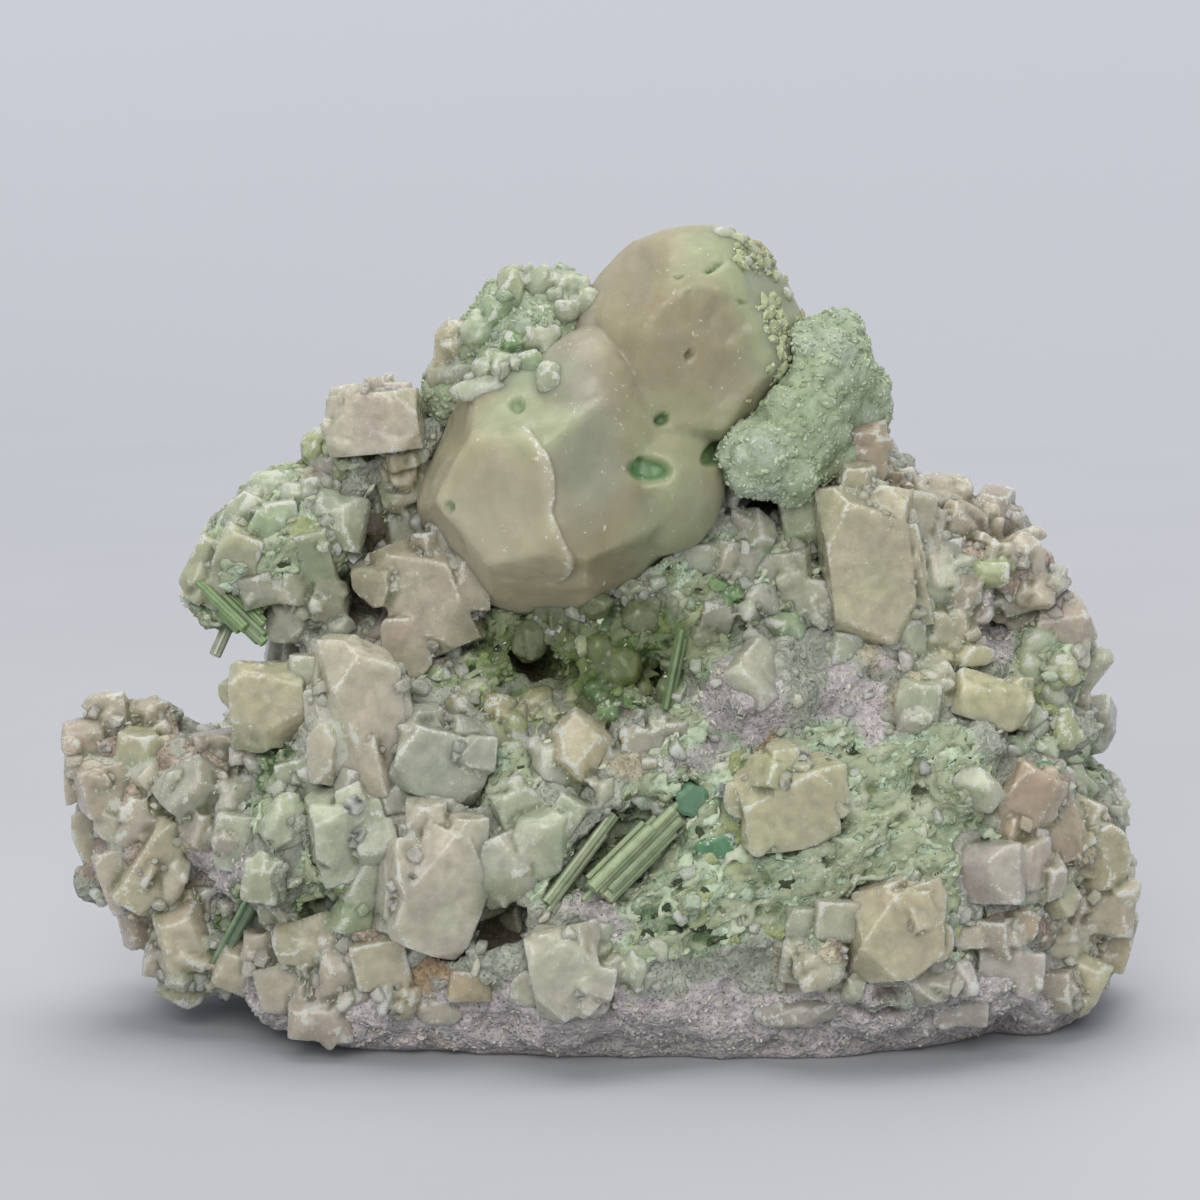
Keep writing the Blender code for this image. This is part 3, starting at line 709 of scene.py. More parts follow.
granular = share_of("mint", "apple", "pine")
feldspar = share_of("rose", "cream", "grey", "white")
relief = 0.55 * clouds(rock_skin, 6.0, 10) + 0.3 * clouds(rock_skin, 2.6, 11)
relief += granular * (domes(rock_skin, 2.3, 0.8, 12) + domes(rock_skin, 1.3, 0.35, 13) - 0.6)
relief += feldspar * (steps(rock_skin, 3.6, 1.3, 14) + steps(rock_skin, 1.9, 0.6, 15))
scaly = 0.5 * clouds(rock_skin, 1.6, 16) + 0.35 * domes(rock_skin, 1.5, 1.0, 17) - 0.15
relief += share_of("lilac") * scaly
relief -= 0.7 * share_of("lilac") * rise(clouds(rock_skin, 1.7, 20), 0.3, 0.6)
pits = granular * rise(clouds(rock_skin, 1.9, 18) + 0.4 * clouds(rock_skin, 5.0, 19), 0.34, 0.62)
relief -= 1.1 * pits
relief -= 1.4 * share_of("shade") + 0.5 * share_of("pine")
fade_at_foot = rise(rock_skin[:, 2], 0.3, 2.0)
rock_points = keep_in_box(rock_skin + rock_ways * (relief * fade_at_foot)[:, None])
move_points(rock, rock_points)
apply_modifier(rock, "SMOOTH", factor=0.3, iterations=1)
move_points(rock, keep_in_box(points_of(rock)))
rock_points = points_of(rock)

# %% Colour of the rock, with painted light and shade by relief and in the recesses
rock_colour = rock_shares @ palette(GROUND_COLOURS)
# Painted light and shade by relief: raised places lighter, low places darker, and low mica also greener
relief_light = rise(relief, -0.9, 0.7)[:, None]
shaded_hollow_green = np.array(card_colour(112, 138, 96))
hollow_shade = (granular * (1.0 - rise(relief, -1.0, 0.0)))[:, None]
rock_colour = rock_colour * (1.0 - hollow_shade) + shaded_hollow_green * hollow_shade
# Here the painted light and shade by relief and the painted shade of the recesses are laid on
rock_colour = rock_colour * (0.86 + 0.3 * relief_light) * recess_shade(rock_points)
store_colour(rock.data, "ground", rock_colour)
store_value(rock.data, "pits", pits)
select_only(rock)
bpy.ops.object.shade_smooth()

# %% [markdown]
# The rock's material takes its colour from the patches that are stored on it, and breaks it up with
# two sizes of grain, because real rock never has one flat colour. The bump gives the grit that is
# finer than the mesh. A few cells of the finest grain are glossy: they are mica scales that catch
# the light.

# %% Rock material
GRIT = 0.45
SPECK = 0.32
rock_finish = new_material(
    "craggy_rock",
    Specular_IOR_Level=0.4,
)
stain = fitted(rock_finish, noise(rock_finish, 2.2, 2.0), 0.3, 0.7)
speckle = fitted(rock_finish, noise(rock_finish, SPECK, 1.0), 0.62, 0.72)
pale = blended(rock_finish, stain, (0.86, 0.85, 0.84, 1), (1.1, 1.1, 1.08, 1))
ground = blended(rock_finish, 1.0, stored_colour(rock_finish, "ground"), pale, "MULTIPLY")
each_grain = fitted(rock_finish, grains(rock_finish, 0.6, output="Color"), 0.2, 0.8, 0.8, 1.22)
ground = blended(rock_finish, 1.0, ground, each_grain, "MULTIPLY")
plug(rock_finish, "Base Color", blended(rock_finish, speckle, ground, (0.16, 0.15, 0.12, 1)))
glints = fitted(rock_finish, grains(rock_finish, SPECK, output="Color"), 0.8, 0.86, 0.82, 0.25)
plug(rock_finish, "Roughness", glints)
fine = bumped(rock_finish, noise(rock_finish, GRIT, 2.0, 0.6), 0.5, 0.7)
plug(rock_finish, "Normal", bumped(rock_finish, grains(rock_finish, 0.7), 0.35, 0.6, fine))
rock.data.materials.append(rock_finish)
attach(rock, "root")
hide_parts("matrix")

# %% [markdown]
# ## Crystals to grow by the hundred
#
# The surface between the large features is a crowd of crystals. Each kind is modelled once by hand,
# from a primitive: the block is a cube whose corners are bisected off, the point is a six sided prism
# with a tapered end, the flake a thin six sided plate, the oval a small worn ball. Their copies are
# joined into one mesh with arrays of places, turns and sizes, which takes a second where thousands of
# separate objects would take minutes.

# %% Modelling one crystal of each kind
def start_crystal(add, **settings):
    deselect_all()
    add(**settings)
    piece = bpy.context.object
    in_edit_mode(piece)
    return piece


def finish_crystal(piece):
    """Gives the crystal back as arrays of points and faces."""
    bpy.ops.mesh.select_all(action="SELECT")
    bpy.ops.mesh.quads_convert_to_tris()
    bpy.ops.mesh.normals_make_consistent()
    in_object_mode()
    points = np.array([vert.co for vert in piece.data.vertices])
    faces = np.array([face.vertices for face in piece.data.polygons])
    bpy.data.objects.remove(piece)
    return points, faces


def model_chunk(seed, cuts, kept):
    """A block with corners and edges bisected off by chance, some deeply and some barely."""
    chance = np.random.default_rng(seed)
    piece = start_crystal(bpy.ops.mesh.primitive_cube_add, size=2.0)
    corners = chance.permutation(list(itertools.product((-1.0, 0.0, 1.0), repeat=3)))
    corners = [corner for corner in corners if np.abs(corner).sum() > 1.5][:cuts]
    for corner in corners:
        way = corner + chance.uniform(-0.35, 0.35, 3)
        way /= np.linalg.norm(way)
        share = np.abs(way).sum() * chance.uniform(*kept)
        bpy.ops.mesh.select_all(action="SELECT")
        bpy.ops.mesh.bisect(plane_co=way * share, plane_no=way, use_fill=True, clear_outer=True)
    return finish_crystal(piece)


def model_point(sides, tip_height, lean):
    """A prism whose top face is drawn in and lifted, a little off its axis."""
    piece = start_crystal(bpy.ops.mesh.primitive_cylinder_add, vertices=sides, radius=1.0, depth=2.0)
    bpy.ops.mesh.select_mode(type="FACE")
    bpy.ops.mesh.select_all(action="DESELECT")
    in_object_mode()
    for face in piece.data.polygons:
        face.select = face.normal.z > 0.9
    bpy.ops.object.mode_set(mode="EDIT")
    bpy.ops.transform.translate(value=(0.0, 0.0, -tip_height))
    bpy.ops.mesh.extrude_region_move(TRANSFORM_OT_translate={"value": (lean, 0.0, tip_height)})
    bpy.ops.transform.resize(value=(0.25, 0.35, 1.0))
    bpy.ops.mesh.select_mode(type="VERT")
    return finish_crystal(piece)


def model_oval(seed, rounds):
    piece = start_crystal(bpy.ops.mesh.primitive_ico_sphere_add, subdivisions=rounds, radius=1.08)
    bpy.ops.transform.vertex_random(offset=0.16, seed=seed)
    return finish_crystal(piece)


def model_flake():
    piece = start_crystal(bpy.ops.mesh.primitive_cylinder_add, vertices=6, radius=1.0, depth=0.5)
    bpy.ops.transform.resize(value=(1.0, 0.8, 1.0))
    return finish_crystal(piece)


KINDS = {
    "point": [model_point(6, 0.8, 0.12), model_point(5, 0.6, -0.2)],
    "hex": [model_point(6, 0.16, 0.0)],
    "block": [model_chunk(seed, 11, (0.58, 0.84)) for seed in range(8)],
    "wedge": [model_chunk(seed, 7, (0.6, 0.84)) for seed in range(10, 18)],
    "oval": [model_oval(3, 2), model_oval(5, 2)],
    "nub": [model_oval(8, 1), model_oval(9, 1)],
    "flake": [model_flake()],
}
for kind, shapes in KINDS.items():
    print(kind, "triangles:", [len(faces) for _, faces in shapes])


# %% Joining copies
def turned(ways, spins):
    """Turns that carry +Z to the given ways, with a spin about them: one 3 by 3 matrix a row."""
    ways = ways / np.linalg.norm(ways, axis=1, keepdims=True)
    aside = np.where(np.abs(ways[:, 2:3]) < 0.9, (0.0, 0.0, 1.0), (1.0, 0.0, 0.0))
    first = np.cross(aside, ways)
    first /= np.linalg.norm(first, axis=1, keepdims=True)
    other = np.cross(ways, first)
    turn_x = first * np.cos(spins)[:, None] + other * np.sin(spins)[:, None]
    return np.stack((turn_x, np.cross(ways, turn_x), ways), axis=2)


class Crop:
    """Copies of the small kinds that are gathered, then joined into one mesh."""

    def __init__(self):
        self.points, self.faces, self.tints = [], [], []
        self.total = 0
        self.turn = 0

    def add(self, kind, places, turns, sizes, tints):
        """Adds a copy at each place: places, sizes and tints are rows, turns are matrices."""
        shapes = KINDS[kind]
        self.turn += 1
        sort = (np.arange(len(places)) + self.turn) % len(shapes)
        for number, (shape, faces) in enumerate(shapes):
            same = sort == number
            self.add_shape(shape, faces, places[same], turns[same], sizes[same], tints[same])

    def add_shape(self, shape, faces, places, turns, sizes, tints):
        points = np.einsum("nij,nvj->nvi", turns, shape[None] * sizes[:, None, :]) + places[:, None, :]
        firsts = self.total + len(shape) * np.arange(len(places))
        self.points.append(points.reshape(-1, 3))
        self.faces.append((faces[None] + firsts[:, None, None]).reshape(-1, 3))
        self.tints.append(np.repeat(tints, len(shape), axis=0))
        self.total += len(shape) * len(places)

    def join(self, name):
        mesh = bpy.data.meshes.new(name)
        mesh.from_pydata(keep_in_box(np.concatenate(self.points)) * MM, [], np.concatenate(self.faces))
        store_colour(mesh, "tint", np.concatenate(self.tints))
        store_value(mesh, "frost", np.full(self.total, 0.2))
        mesh.update()
        piece = bpy.data.objects.new(name, mesh)
        bpy.context.scene.collection.objects.link(piece)
        return piece


# %% [markdown]
# Nothing on this stone has a sharp edge: the crystals have been etched, and look half melted into each
# other. So each crowd of crystals is fused. A voxel remesh makes one closed skin of them, which keeps
# the colour of the crystal that it lies on, smoothing wears the edges round, and the worn edges turn
# paler, because frosting gathers there, while the hollows between them are painted darker as shade.
# The same measure of ridges and hollows serves all pieces.

# %% Fusing a crowd
def ridges(piece, rounds):
    """How far each point stands out of its softened surroundings, in mm: ridges above 0, hollows below."""
    ends = np.empty(len(piece.data.edges) * 2, np.int32)
    piece.data.edges.foreach_get("vertices", ends)
    one, other = ends.reshape(-1, 2).T
    points = points_of(piece)
    number = np.bincount(ends, minlength=len(points))[:, None]
    soft = points.copy()
    for _ in range(rounds):
        total = np.zeros_like(soft)
        for axis in range(3):
            total[:, axis] = np.bincount(one, soft[other, axis], len(points))
            total[:, axis] += np.bincount(other, soft[one, axis], len(points))
        soft = total / np.maximum(number, 1)
    return np.einsum("ij,ij->i", points - soft, normals_of(piece))


GAP_FROST = (198, 206, 184)
# The next colour is painted shade for the hollows between crystals
HOLLOW_SHADE_COLOUR = (104, 112, 82)


def frost_ridges(piece, tint, reach, frosting=0.6, hollows=0.7, gaps=0.0, seed=60):
    """Stores a tint with painted shade in its hollows and under the overhangs, and how frosted each point
    is: its ridges and filled gaps.
    """
    ridge = ridges(piece, 5)
    points = points_of(piece)
    patchy = 0.45 + 0.55 * clouds(points, 2.0, seed)
    filled = gaps * rise(clouds(points, 3.2, seed + 7), 0.0, 0.5)
    low = rise(-ridge, 0.1 * reach, 1.2 * reach)
    # Hollows that frosting doesn't fill are painted darker: painted shade
    dark = (hollows * low * (1.0 - filled))[:, None]
    crusted = (0.6 * low * filled)[:, None]
    tint = tint + (np.array(card_colour(*GAP_FROST)) - tint) * crusted
    tint = tint + (np.array(card_colour(*HOLLOW_SHADE_COLOUR)) * tint / 0.5 - tint) * dark
    # Recesses under the overhangs get painted shade as well
    store_colour(piece.data, "tint", tint * recess_shade(points))
    frost = frosting * rise(ridge, 0.1 * reach, 0.9 * reach) * patchy + 0.75 * low * filled
    frost += 0.12 * rise(clouds(points, 5.5, seed + 9), 0.2, 0.8)
    # Frost fades where the recesses get painted shade
    store_value(piece.data, "frost", frost * rise(recess_shade(points).mean(axis=1), 0.45, 0.85))
    return low


gap_points = []
gap_tints = []


def remesh_skin(piece, grain):
    """One closed skin of even faces around all that the piece has, which keeps its colours."""
    select_only(piece)
    piece.data.remesh_voxel_size = grain * MM
    piece.data.use_remesh_preserve_attributes = True
    bpy.ops.object.voxel_remesh()


def swell(piece, distance):
    """Moves the skin outwards, or inwards if the distance is below 0, in mm."""
    move_points(piece, points_of(piece) + normals_of(piece) * distance)


def fuse(piece, grain, wear, finish, smoothing=4, lumps=0.08, filling=0.5, stepping=0.0, frosting=0.9):
    """One worn skin around a crowd of crystals, with its narrow gaps filled by frosting."""
    remesh_skin(piece, grain)
    if filling:
        swell(piece, filling)
        remesh_skin(piece, grain)
        swell(piece, -filling)
    points, ways = points_of(piece), normals_of(piece)
    uneven = lumps * clouds(points, 2.2, 61) + 0.5 * lumps * clouds(points, 1.0, 62)
    uneven += steps(points, 2.8, stepping, 66)
    move_points(piece, points + ways * uneven[:, None])
    apply_modifier(piece, "SMOOTH", factor=0.5, iterations=smoothing)
    rows = np.empty(len(piece.data.vertices) * 4, np.float32)
    piece.data.attributes["tint"].data.foreach_get("color", rows)
    tint = rows.reshape(-1, 4)[:, :3].astype(float)
    points = points_of(piece)
    greener = 0.03 * clouds(points, 4.5, 63)
    lighter = 1.0 + 0.09 * clouds(points, 3.0, 64) + 0.05 * clouds(points, 1.3, 65)
    tint *= lighter[:, None] + np.stack((-greener, greener, -0.5 * greener), axis=1)
    for name in ("tint", "frost"):
        if name in piece.data.attributes:
            piece.data.attributes.remove(piece.data.attributes[name])
    low = frost_ridges(piece, tint, wear, frosting, gaps=1.0 if filling else 0.0)
    move_points(piece, keep_in_box(points_of(piece)))
    select_only(piece)
    bpy.ops.object.shade_smooth()
    piece.data.materials.clear()
    piece.data.materials.append(finish)
    gap_points.append(points_of(piece)[low > 0.5])
    gap_tints.append(tint[low > 0.5])
    print(piece.name, "triangles:", count(piece))


# %% [markdown]
# Cloudy crystals are neither clear nor solid. Part of the light passes straight through and shows
# what lies behind, part scatters inside. White crumbs of frosting cling to the edges and fill the gaps:
# the frost that is stored on the mesh says where, and fine noise breaks it up into crumbs.

# %% Crystal finishes
FROST_COLOUR = (0.83, 0.84, 0.74, 1)
SPECK_COLOUR = (0.17, 0.18, 0.13, 1)


def add_frost(finish, body, roughness, crumb_size=0.55, speckled=0.6, relief=0.35):
    """Lays crumbs of frosting over a body colour, with their gloss and relief."""
    crumbs = noise(finish, crumb_size, 2.0, 0.7)
    inputs = [(0, stored_value(finish, "frost")), (1, 0.5), (2, crumbs)]
    lifted = add_node(finish, "Math", inputs, operation="MULTIPLY_ADD").outputs[0]
    frost = fitted(finish, lifted, 0.68, 0.76)
    specks = fitted(finish, crumbs, 0.3, 0.25, 0.0, speckled)
    specked = blended(finish, specks, body, SPECK_COLOUR) if speckled else body
    cover = fitted(finish, frost, 0.0, 1.0, 0.0, 0.85)
    plug(finish, "Base Color", blended(finish, cover, specked, FROST_COLOUR))
    rough = fitted(finish, noise(finish, 0.9, 0.0), 0.3, 0.7, roughness, roughness + 0.24)
    rougher = add_node(finish, "Math", [(0, rough), (1, frost)], operation="MAXIMUM").outputs[0]
    plug(finish, "Roughness", rougher)
    plug(finish, "Normal", bumped(finish, lifted, relief, 0.6))


def cloudy(name, clear, milky, roughness, reach, speckled, relief, coat):
    finish = new_material(
        name,
        Transmission_Weight=clear,
        Subsurface_Weight=milky,
        Subsurface_Radius=(1.0, 0.95, 0.85),
        Subsurface_Scale=reach * MM,
        IOR=1.5,
        Coat_Weight=coat,
        Coat_Roughness=0.08,
    )
    veil = fitted(finish, noise(finish, 1.6, 1.0, 0.6), 0.3, 0.7)
    toned = blended(
        finish, 1.0, stored_colour(finish, "tint"),
        blended(finish, veil, (0.89, 0.91, 0.83, 1), (1.14, 1.14, 1.04, 1)), "MULTIPLY",
    )
    add_frost(finish, toned, roughness, speckled=speckled, relief=relief)
    return finish


cloudy_crystal = cloudy("cloudy_crystal", 0.18, 0.85, 0.12, 3.5, 0.0, 0.07, 0.3)
etched_crystal = cloudy("etched_crystal", 0.0, 0.0, 0.5, 1.0, 0.7, 0.5, 0.0)

# %% [markdown]
# ## The two pollucite crystals
#
# Pollucite grows in stout crystals with a few large flat faces, and these two have grown into each
# other. The solids have the faces already. The skin is remeshed finely, its edges are worn round by
# smoothing, and then the features that a collector would point out are pressed in one by one: the
# raised front plate of the lower crystal with its curved edge, the pits, the mint green stains.

# %% Skin of the pollucite
POLLUCITE_GRAIN = 0.42
# Where the two crystals have grown into each other: across, up and depth, then half sizes, in mm
BRIDGES = (
    ((-1.0, 76.0, 11.0), (7.6, 8.4, 10.0)),
    ((7.0, 68.0, 12.0), (7.6, 7.4, 8.4)),
    ((-9.0, 79.0, 7.0), (6.6, 7.4, 5.4)),
    ((4.0, 84.0, 6.0), (7.0, 7.0, 8.0)),
)
pollucite = copy_solids("pollucite", "pollucite_crystals")
bridges = []
for place, half in BRIDGES:
    deselect_all()
    bpy.ops.mesh.primitive_ico_sphere_add(subdivisions=4, radius=MM, location=spot(*place) * MM, scale=half)
    bpy.ops.object.transform_apply(location=True, rotation=True, scale=True)
    bridges.append(bpy.context.object)
select_only(pollucite)
for bridge in bridges:
    bridge.select_set(True)
bpy.ops.object.join()
apply_modifier(pollucite, "REMESH", mode="VOXEL", voxel_size=POLLUCITE_GRAIN * MM)
apply_modifier(pollucite, "SMOOTH", factor=0.5, iterations=11)
skin = points_of(pollucite)
ways = normals_of(pollucite)
print("pollucite points:", len(skin), "triangles:", count(pollucite))

# %% Its relief
# The curved edge of the front plate: places of the drawing from top to bottom
PLATE_EDGE = (
    (-8.4, 74.4), (-6.4, 71.6), (-5.4, 68.4), (-5.3, 66.0), (-5.6, 64.6),
    (-4.4, 61.8), (-3.5, 59.4), (-3.2, 57.8), (-3.8, 56.6), (-5.0, 56.0),
)
PLATE_HEIGHT = 0.9
# Pits: across, up, half width, half height, turn, depth and how green their floor is
PITS = (
    (10.6, 83.4, 0.5, 0.75, -20, 0.9, 0.2),
    (7.4, 75.7, 0.85, 0.75, 30, 1.0, 0.9),
    (5.9, 69.6, 2.7, 1.5, -4, 0.9, 1.0),
    (4.9, 70.9, 0.55, 0.4, 0, 0.5, 1.0),
    (13.6, 71.6, 1.2, 1.9, -40, 0.9, 0.8),
    (-9.9, 77.2, 1.0, 0.9, 0, 0.7, 0.4),
    (-18.0, 65.2, 0.6, 0.8, 20, 0.7, 0.4),
    (9.4, 92.6, 0.6, 0.25, 0, 0.5, 0.2),
    (10.8, 90.8, 0.25, 0.25, 0, 0.4, 0.2),
    (13.6, 93.6, 1.3, 0.25, 32, 0.6, 0.8),
    (17.0, 89.8, 0.7, 0.25, -20, 0.4, 0.5),
)
# Shallow scallops where flakes broke away: the same, with no green
SCALLOPS = (
    (2.4, 93.6, 3.4, 3.8, 20, 0.5),
    (-17.2, 75.8, 2.8, 3.6, -10, 0.5),
    (15.5, 88.0, 3.0, 2.4, 40, 0.4),
    (12.0, 89.0, 1.8, 2.2, 0, 0.3),
    (16.5, 80.6, 3.0, 2.6, 10, 0.35),
)
seen = drawn(skin)
facing = -(ways @ np.array(SIGHT))
front = rise(facing, 0.05, 0.35)
wear = 0.25 + 0.5 * clouds(skin, 7.0, 30) + 0.14 * clouds(skin, 2.4, 31) + 0.05 * clouds(skin, 0.9, 32)
edge_up = [up for _, up in PLATE_EDGE][::-1]
edge_across = [across for across, _ in PLATE_EDGE][::-1]
beyond_edge = seen[:, 0] - np.interp(seen[:, 1], edge_up, edge_across)
in_height = rise(seen[:, 1], 55.2, 57.0) * (1.0 - rise(seen[:, 1], 73.6, 75.6))
in_reach = 1.0 - rise(beyond_edge, 1.5, 9.0)
lower_front = front * in_height * (skin[:, 1] < -10.0)
wear -= PLATE_HEIGHT * lower_front * rise(beyond_edge, -0.15, 0.25) * in_reach
plate_rim = lower_front * np.exp(-((beyond_edge + 0.5) / 0.5) ** 2)
green_floor_share = np.zeros(len(skin))
for across, up, half_width, half_height, turn, depth, green in PITS:
    pit = (across, up, half_width, half_height, turn)
    inside = front * patch_strength(seen, pit)
    wear -= depth * inside
    green_floor_share = np.maximum(green_floor_share, green * inside)
for across, up, half_width, half_height, turn, depth in SCALLOPS:
    wear -= depth * front * patch_strength(seen, (across, up, half_width * 1.2, half_height * 1.2, turn))
move_points(pollucite, keep_in_box(skin + ways * wear[:, None]))
select_only(pollucite)
bpy.ops.object.shade_smooth()

# %% Its colours
POLLUCITE_ZONES = (
    # across, up, half width, half height, turn, card colour
    (-12.0, 65.0, 9.0, 9.0, 0, (203, 197, 170)),
    (-16.5, 76.0, 4.0, 5.0, 0, (190, 184, 150)),
    (3.0, 62.0, 6.0, 8.0, 0, (172, 164, 132)),
    (-1.5, 74.0, 4.4, 9.0, 0, (172, 175, 154)),
    (-2.5, 84.0, 4.0, 5.0, 0, (186, 182, 168)),
    (-9.0, 75.5, 5.0, 3.6, 0, (184, 192, 158)),
    (-11.0, 82.0, 6.0, 3.0, 0, (180, 196, 160)),
    (3.0, 95.0, 5.0, 4.0, 0, (194, 184, 158)),
    (14.0, 94.0, 5.0, 4.4, 0, (182, 194, 156)),
    (21.0, 88.0, 5.0, 9.0, 0, (178, 188, 152)),
    (8.0, 84.0, 8.0, 9.0, 0, (178, 168, 138)),
    (10.0, 74.0, 7.0, 5.0, 0, (176, 178, 142)),
    (9.0, 63.0, 5.0, 8.0, 0, (170, 176, 142)),
)
tint = np.tile(card_colour(184, 176, 148), (len(skin), 1))
bent = seen + np.stack([clouds(skin, 4.0, 33), clouds(skin, 4.0, 34)], axis=1) * 1.6
for across, up, half_width, half_height, turn, colour in POLLUCITE_ZONES:
    zone = (across, up, half_width * 1.2, half_height * 1.2, turn)
    cover = (0.85 * front * patch_strength(bent, zone))[:, None]
    tint = tint * (1.0 - cover) + np.array(card_colour(*colour)) * cover
crust = np.array(card_colour(170, 190, 150))
behind = (rise(skin[:, 1], -4.0, 10.0) * rise(clouds(skin, 9.0, 35), -0.3, 0.4))[:, None] * 0.7
tint = tint * (1.0 - behind) + crust * behind
stain = green_floor_share[:, None]
tint = tint * (1.0 - stain) + np.array(card_colour(104, 150, 88)) * stain
rim = np.array(card_colour(212, 204, 184))
tint = tint + (rim - tint) * (0.6 * plate_rim)[:, None]
store_colour(pollucite.data, "tint", tint)
store_value(pollucite.data, "frost", 0.35 * plate_rim + 0.12 * rise(clouds(skin, 2.2, 36), 0.4, 0.7) * front)

# %% [markdown]
# Pollucite is milky: light goes a few millimetres in and comes out softened. Subsurface scattering
# does that. The surface is waxy, with a frost of minute etch marks that breaks up the gloss.

# %% Pollucite finish
waxy = new_material(
    "waxy_pollucite",
    Transmission_Weight=0.12,
    Subsurface_Weight=1.0,
    Subsurface_Radius=(1.0, 0.9, 0.7),
    Subsurface_Scale=4.5 * MM,
    IOR=1.52,
    Coat_Weight=0.12,
    Coat_Roughness=0.3,
)
haze = fitted(waxy, noise(waxy, 3.0, 4.0, 0.6), 0.3, 0.7)
mottle = blended(waxy, haze, (0.9, 0.89, 0.86, 1), (1.07, 1.07, 1.06, 1))
body = blended(waxy, 1.0, stored_colour(waxy, "tint"), mottle, "MULTIPLY")
add_frost(waxy, body, 0.3, 0.8, 0.0, 0.12)
pollucite.data.materials.append(waxy)
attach(pollucite, "root")
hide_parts("pollucite_crystals")

# %% [markdown]
# ## The mint green knob and the druse
#
# Both are crusts of very fine mica that grew in rounded lobes, like cauliflower. The lobes are in the
# solids. Two sizes of bumps go on top, and the floors between the bumps are painted darker and greener,
# as painted shade.

# %% Sharp grains on a crust
grit = Crop()


def sow_grit(piece, number, widths, seed, streak=None, weights=None):
    """Sharp small grains on a piece's points, in its own colours."""
    chance = np.random.default_rng(seed)
    shares = None if weights is None else weights / weights.sum()
    points, ways = points_of(piece), normals_of(piece)
    rows = np.empty(len(points) * 4, np.float32)
    piece.data.attributes["tint"].data.foreach_get("color", rows)
    picked = chance.choice(len(points), number, replace=False, p=shares)
    lying = chance.normal(0.0, 1.0, (number, 3))
    if streak is not None:
        lying = np.array(streak) + 0.4 * lying
    lying -= ways[picked] * np.einsum("ij,ij->i", lying, ways[picked])[:, None] * 0.8
    width = widths[0] + (widths[1] - widths[0]) * chance.random(number) ** 2
    length = width * chance.uniform(0.9, 1.9, number)
    sizes = np.stack((width, width * chance.uniform(0.5, 0.9, number), length), axis=1) / 2
    tints = rows.reshape(-1, 4)[picked, :3] * (1.0 + chance.normal(0.02, 0.1, (number, 1)))
    turns = turned(lying, chance.uniform(0.0, 6.3, number))
    grit.add("nub", points[picked], turns, sizes, tints)


# %% The crusts
CRUST_GRAIN = 0.42
# Bluish mint, yellowish mint, and a darker green that is painted shade for the floors between bumps
MINT_TONES = ((182, 194, 174), (176, 190, 160), (132, 152, 108))


def grow_crust(name, node, seed, coarse, fine_size):
    """A rounded crust on a solid's form, with grains sown on it."""
    piece = copy_solids(name, node)
    apply_modifier(piece, "REMESH", mode="VOXEL", voxel_size=CRUST_GRAIN * MM)
    apply_modifier(piece, "SMOOTH", factor=0.5, iterations=6)
    points, ways = points_of(piece), normals_of(piece)
    height = domes(points, coarse, 0.8, seed) + domes(points, fine_size, 0.3, seed + 1) - 0.6
    height += 0.5 * clouds(points, 6.0, seed + 2) + 0.14 * clouds(points, 0.9, seed + 3)
    move_points(piece, keep_in_box(points + ways * height[:, None]))
    low = (1.0 - rise(height, -0.9, 0.1))[:, None]
    patchy = rise(clouds(points, 6.0, seed + 4), -0.2, 0.5)[:, None]
    bluish, yellowish, hollow_shade = (np.array(card_colour(*colour)) for colour in MINT_TONES)
    mint = bluish * (1.0 - patchy) + yellowish * patchy
    # The floors between the bumps are painted darker: painted shade
    mint = mint * (1.0 - 0.45 * low) + hollow_shade * 0.45 * low
    frost_ridges(piece, mint, 0.14, 0.3, 0.25)
    select_only(piece)
    bpy.ops.object.shade_smooth()
    piece.data.materials.append(mint_finish)
    sow_grit(piece, 1800, (0.25, 0.8), seed + 5)
    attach(piece, "root")
    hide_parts(node)
    print(name, "triangles:", count(piece))
    return piece


mint_finish = new_material(
    "mint_mica",
    Specular_IOR_Level=0.4,
)
chalk = fitted(mint_finish, noise(mint_finish, 1.0, 4.0, 0.6), 0.35, 0.68)
mint_body = blended(
    mint_finish, 1.0, stored_colour(mint_finish, "tint"),
    blended(mint_finish, chalk, (0.86, 0.88, 0.84, 1), (1.12, 1.1, 1.1, 1)), "MULTIPLY",
)
add_frost(mint_finish, mint_body, 0.6, 0.7)
bordering = rise(skin[:, 0], 9.0, 15.0) * rise(skin[:, 2], 70.0, 76.0) * rise(ways[:, 0], 0.35, 0.7)
bordering *= rise(clouds(skin, 3.4, 37), -0.1, 0.3) + 0.02
sow_grit(pollucite, 420, (0.4, 1.5), 38, weights=bordering)
knob = grow_crust("mint_knob", "green_mica_knob", 40, 4.0, 1.7)
druse = grow_crust("green_druse", "green_mica_druse", 50, 3.0, 1.4)

# %% [markdown]
# ## The large crystals that stand by themselves
#
# Thirteen blocky crystals of quartz and albite are big enough to be solids. Real ones are seldom one
# plain block: smaller crystals lean on its sides. Each is copied from its solid, made a trace larger so
# that it closes onto the rock, given a few such neighbours, and fused with them.

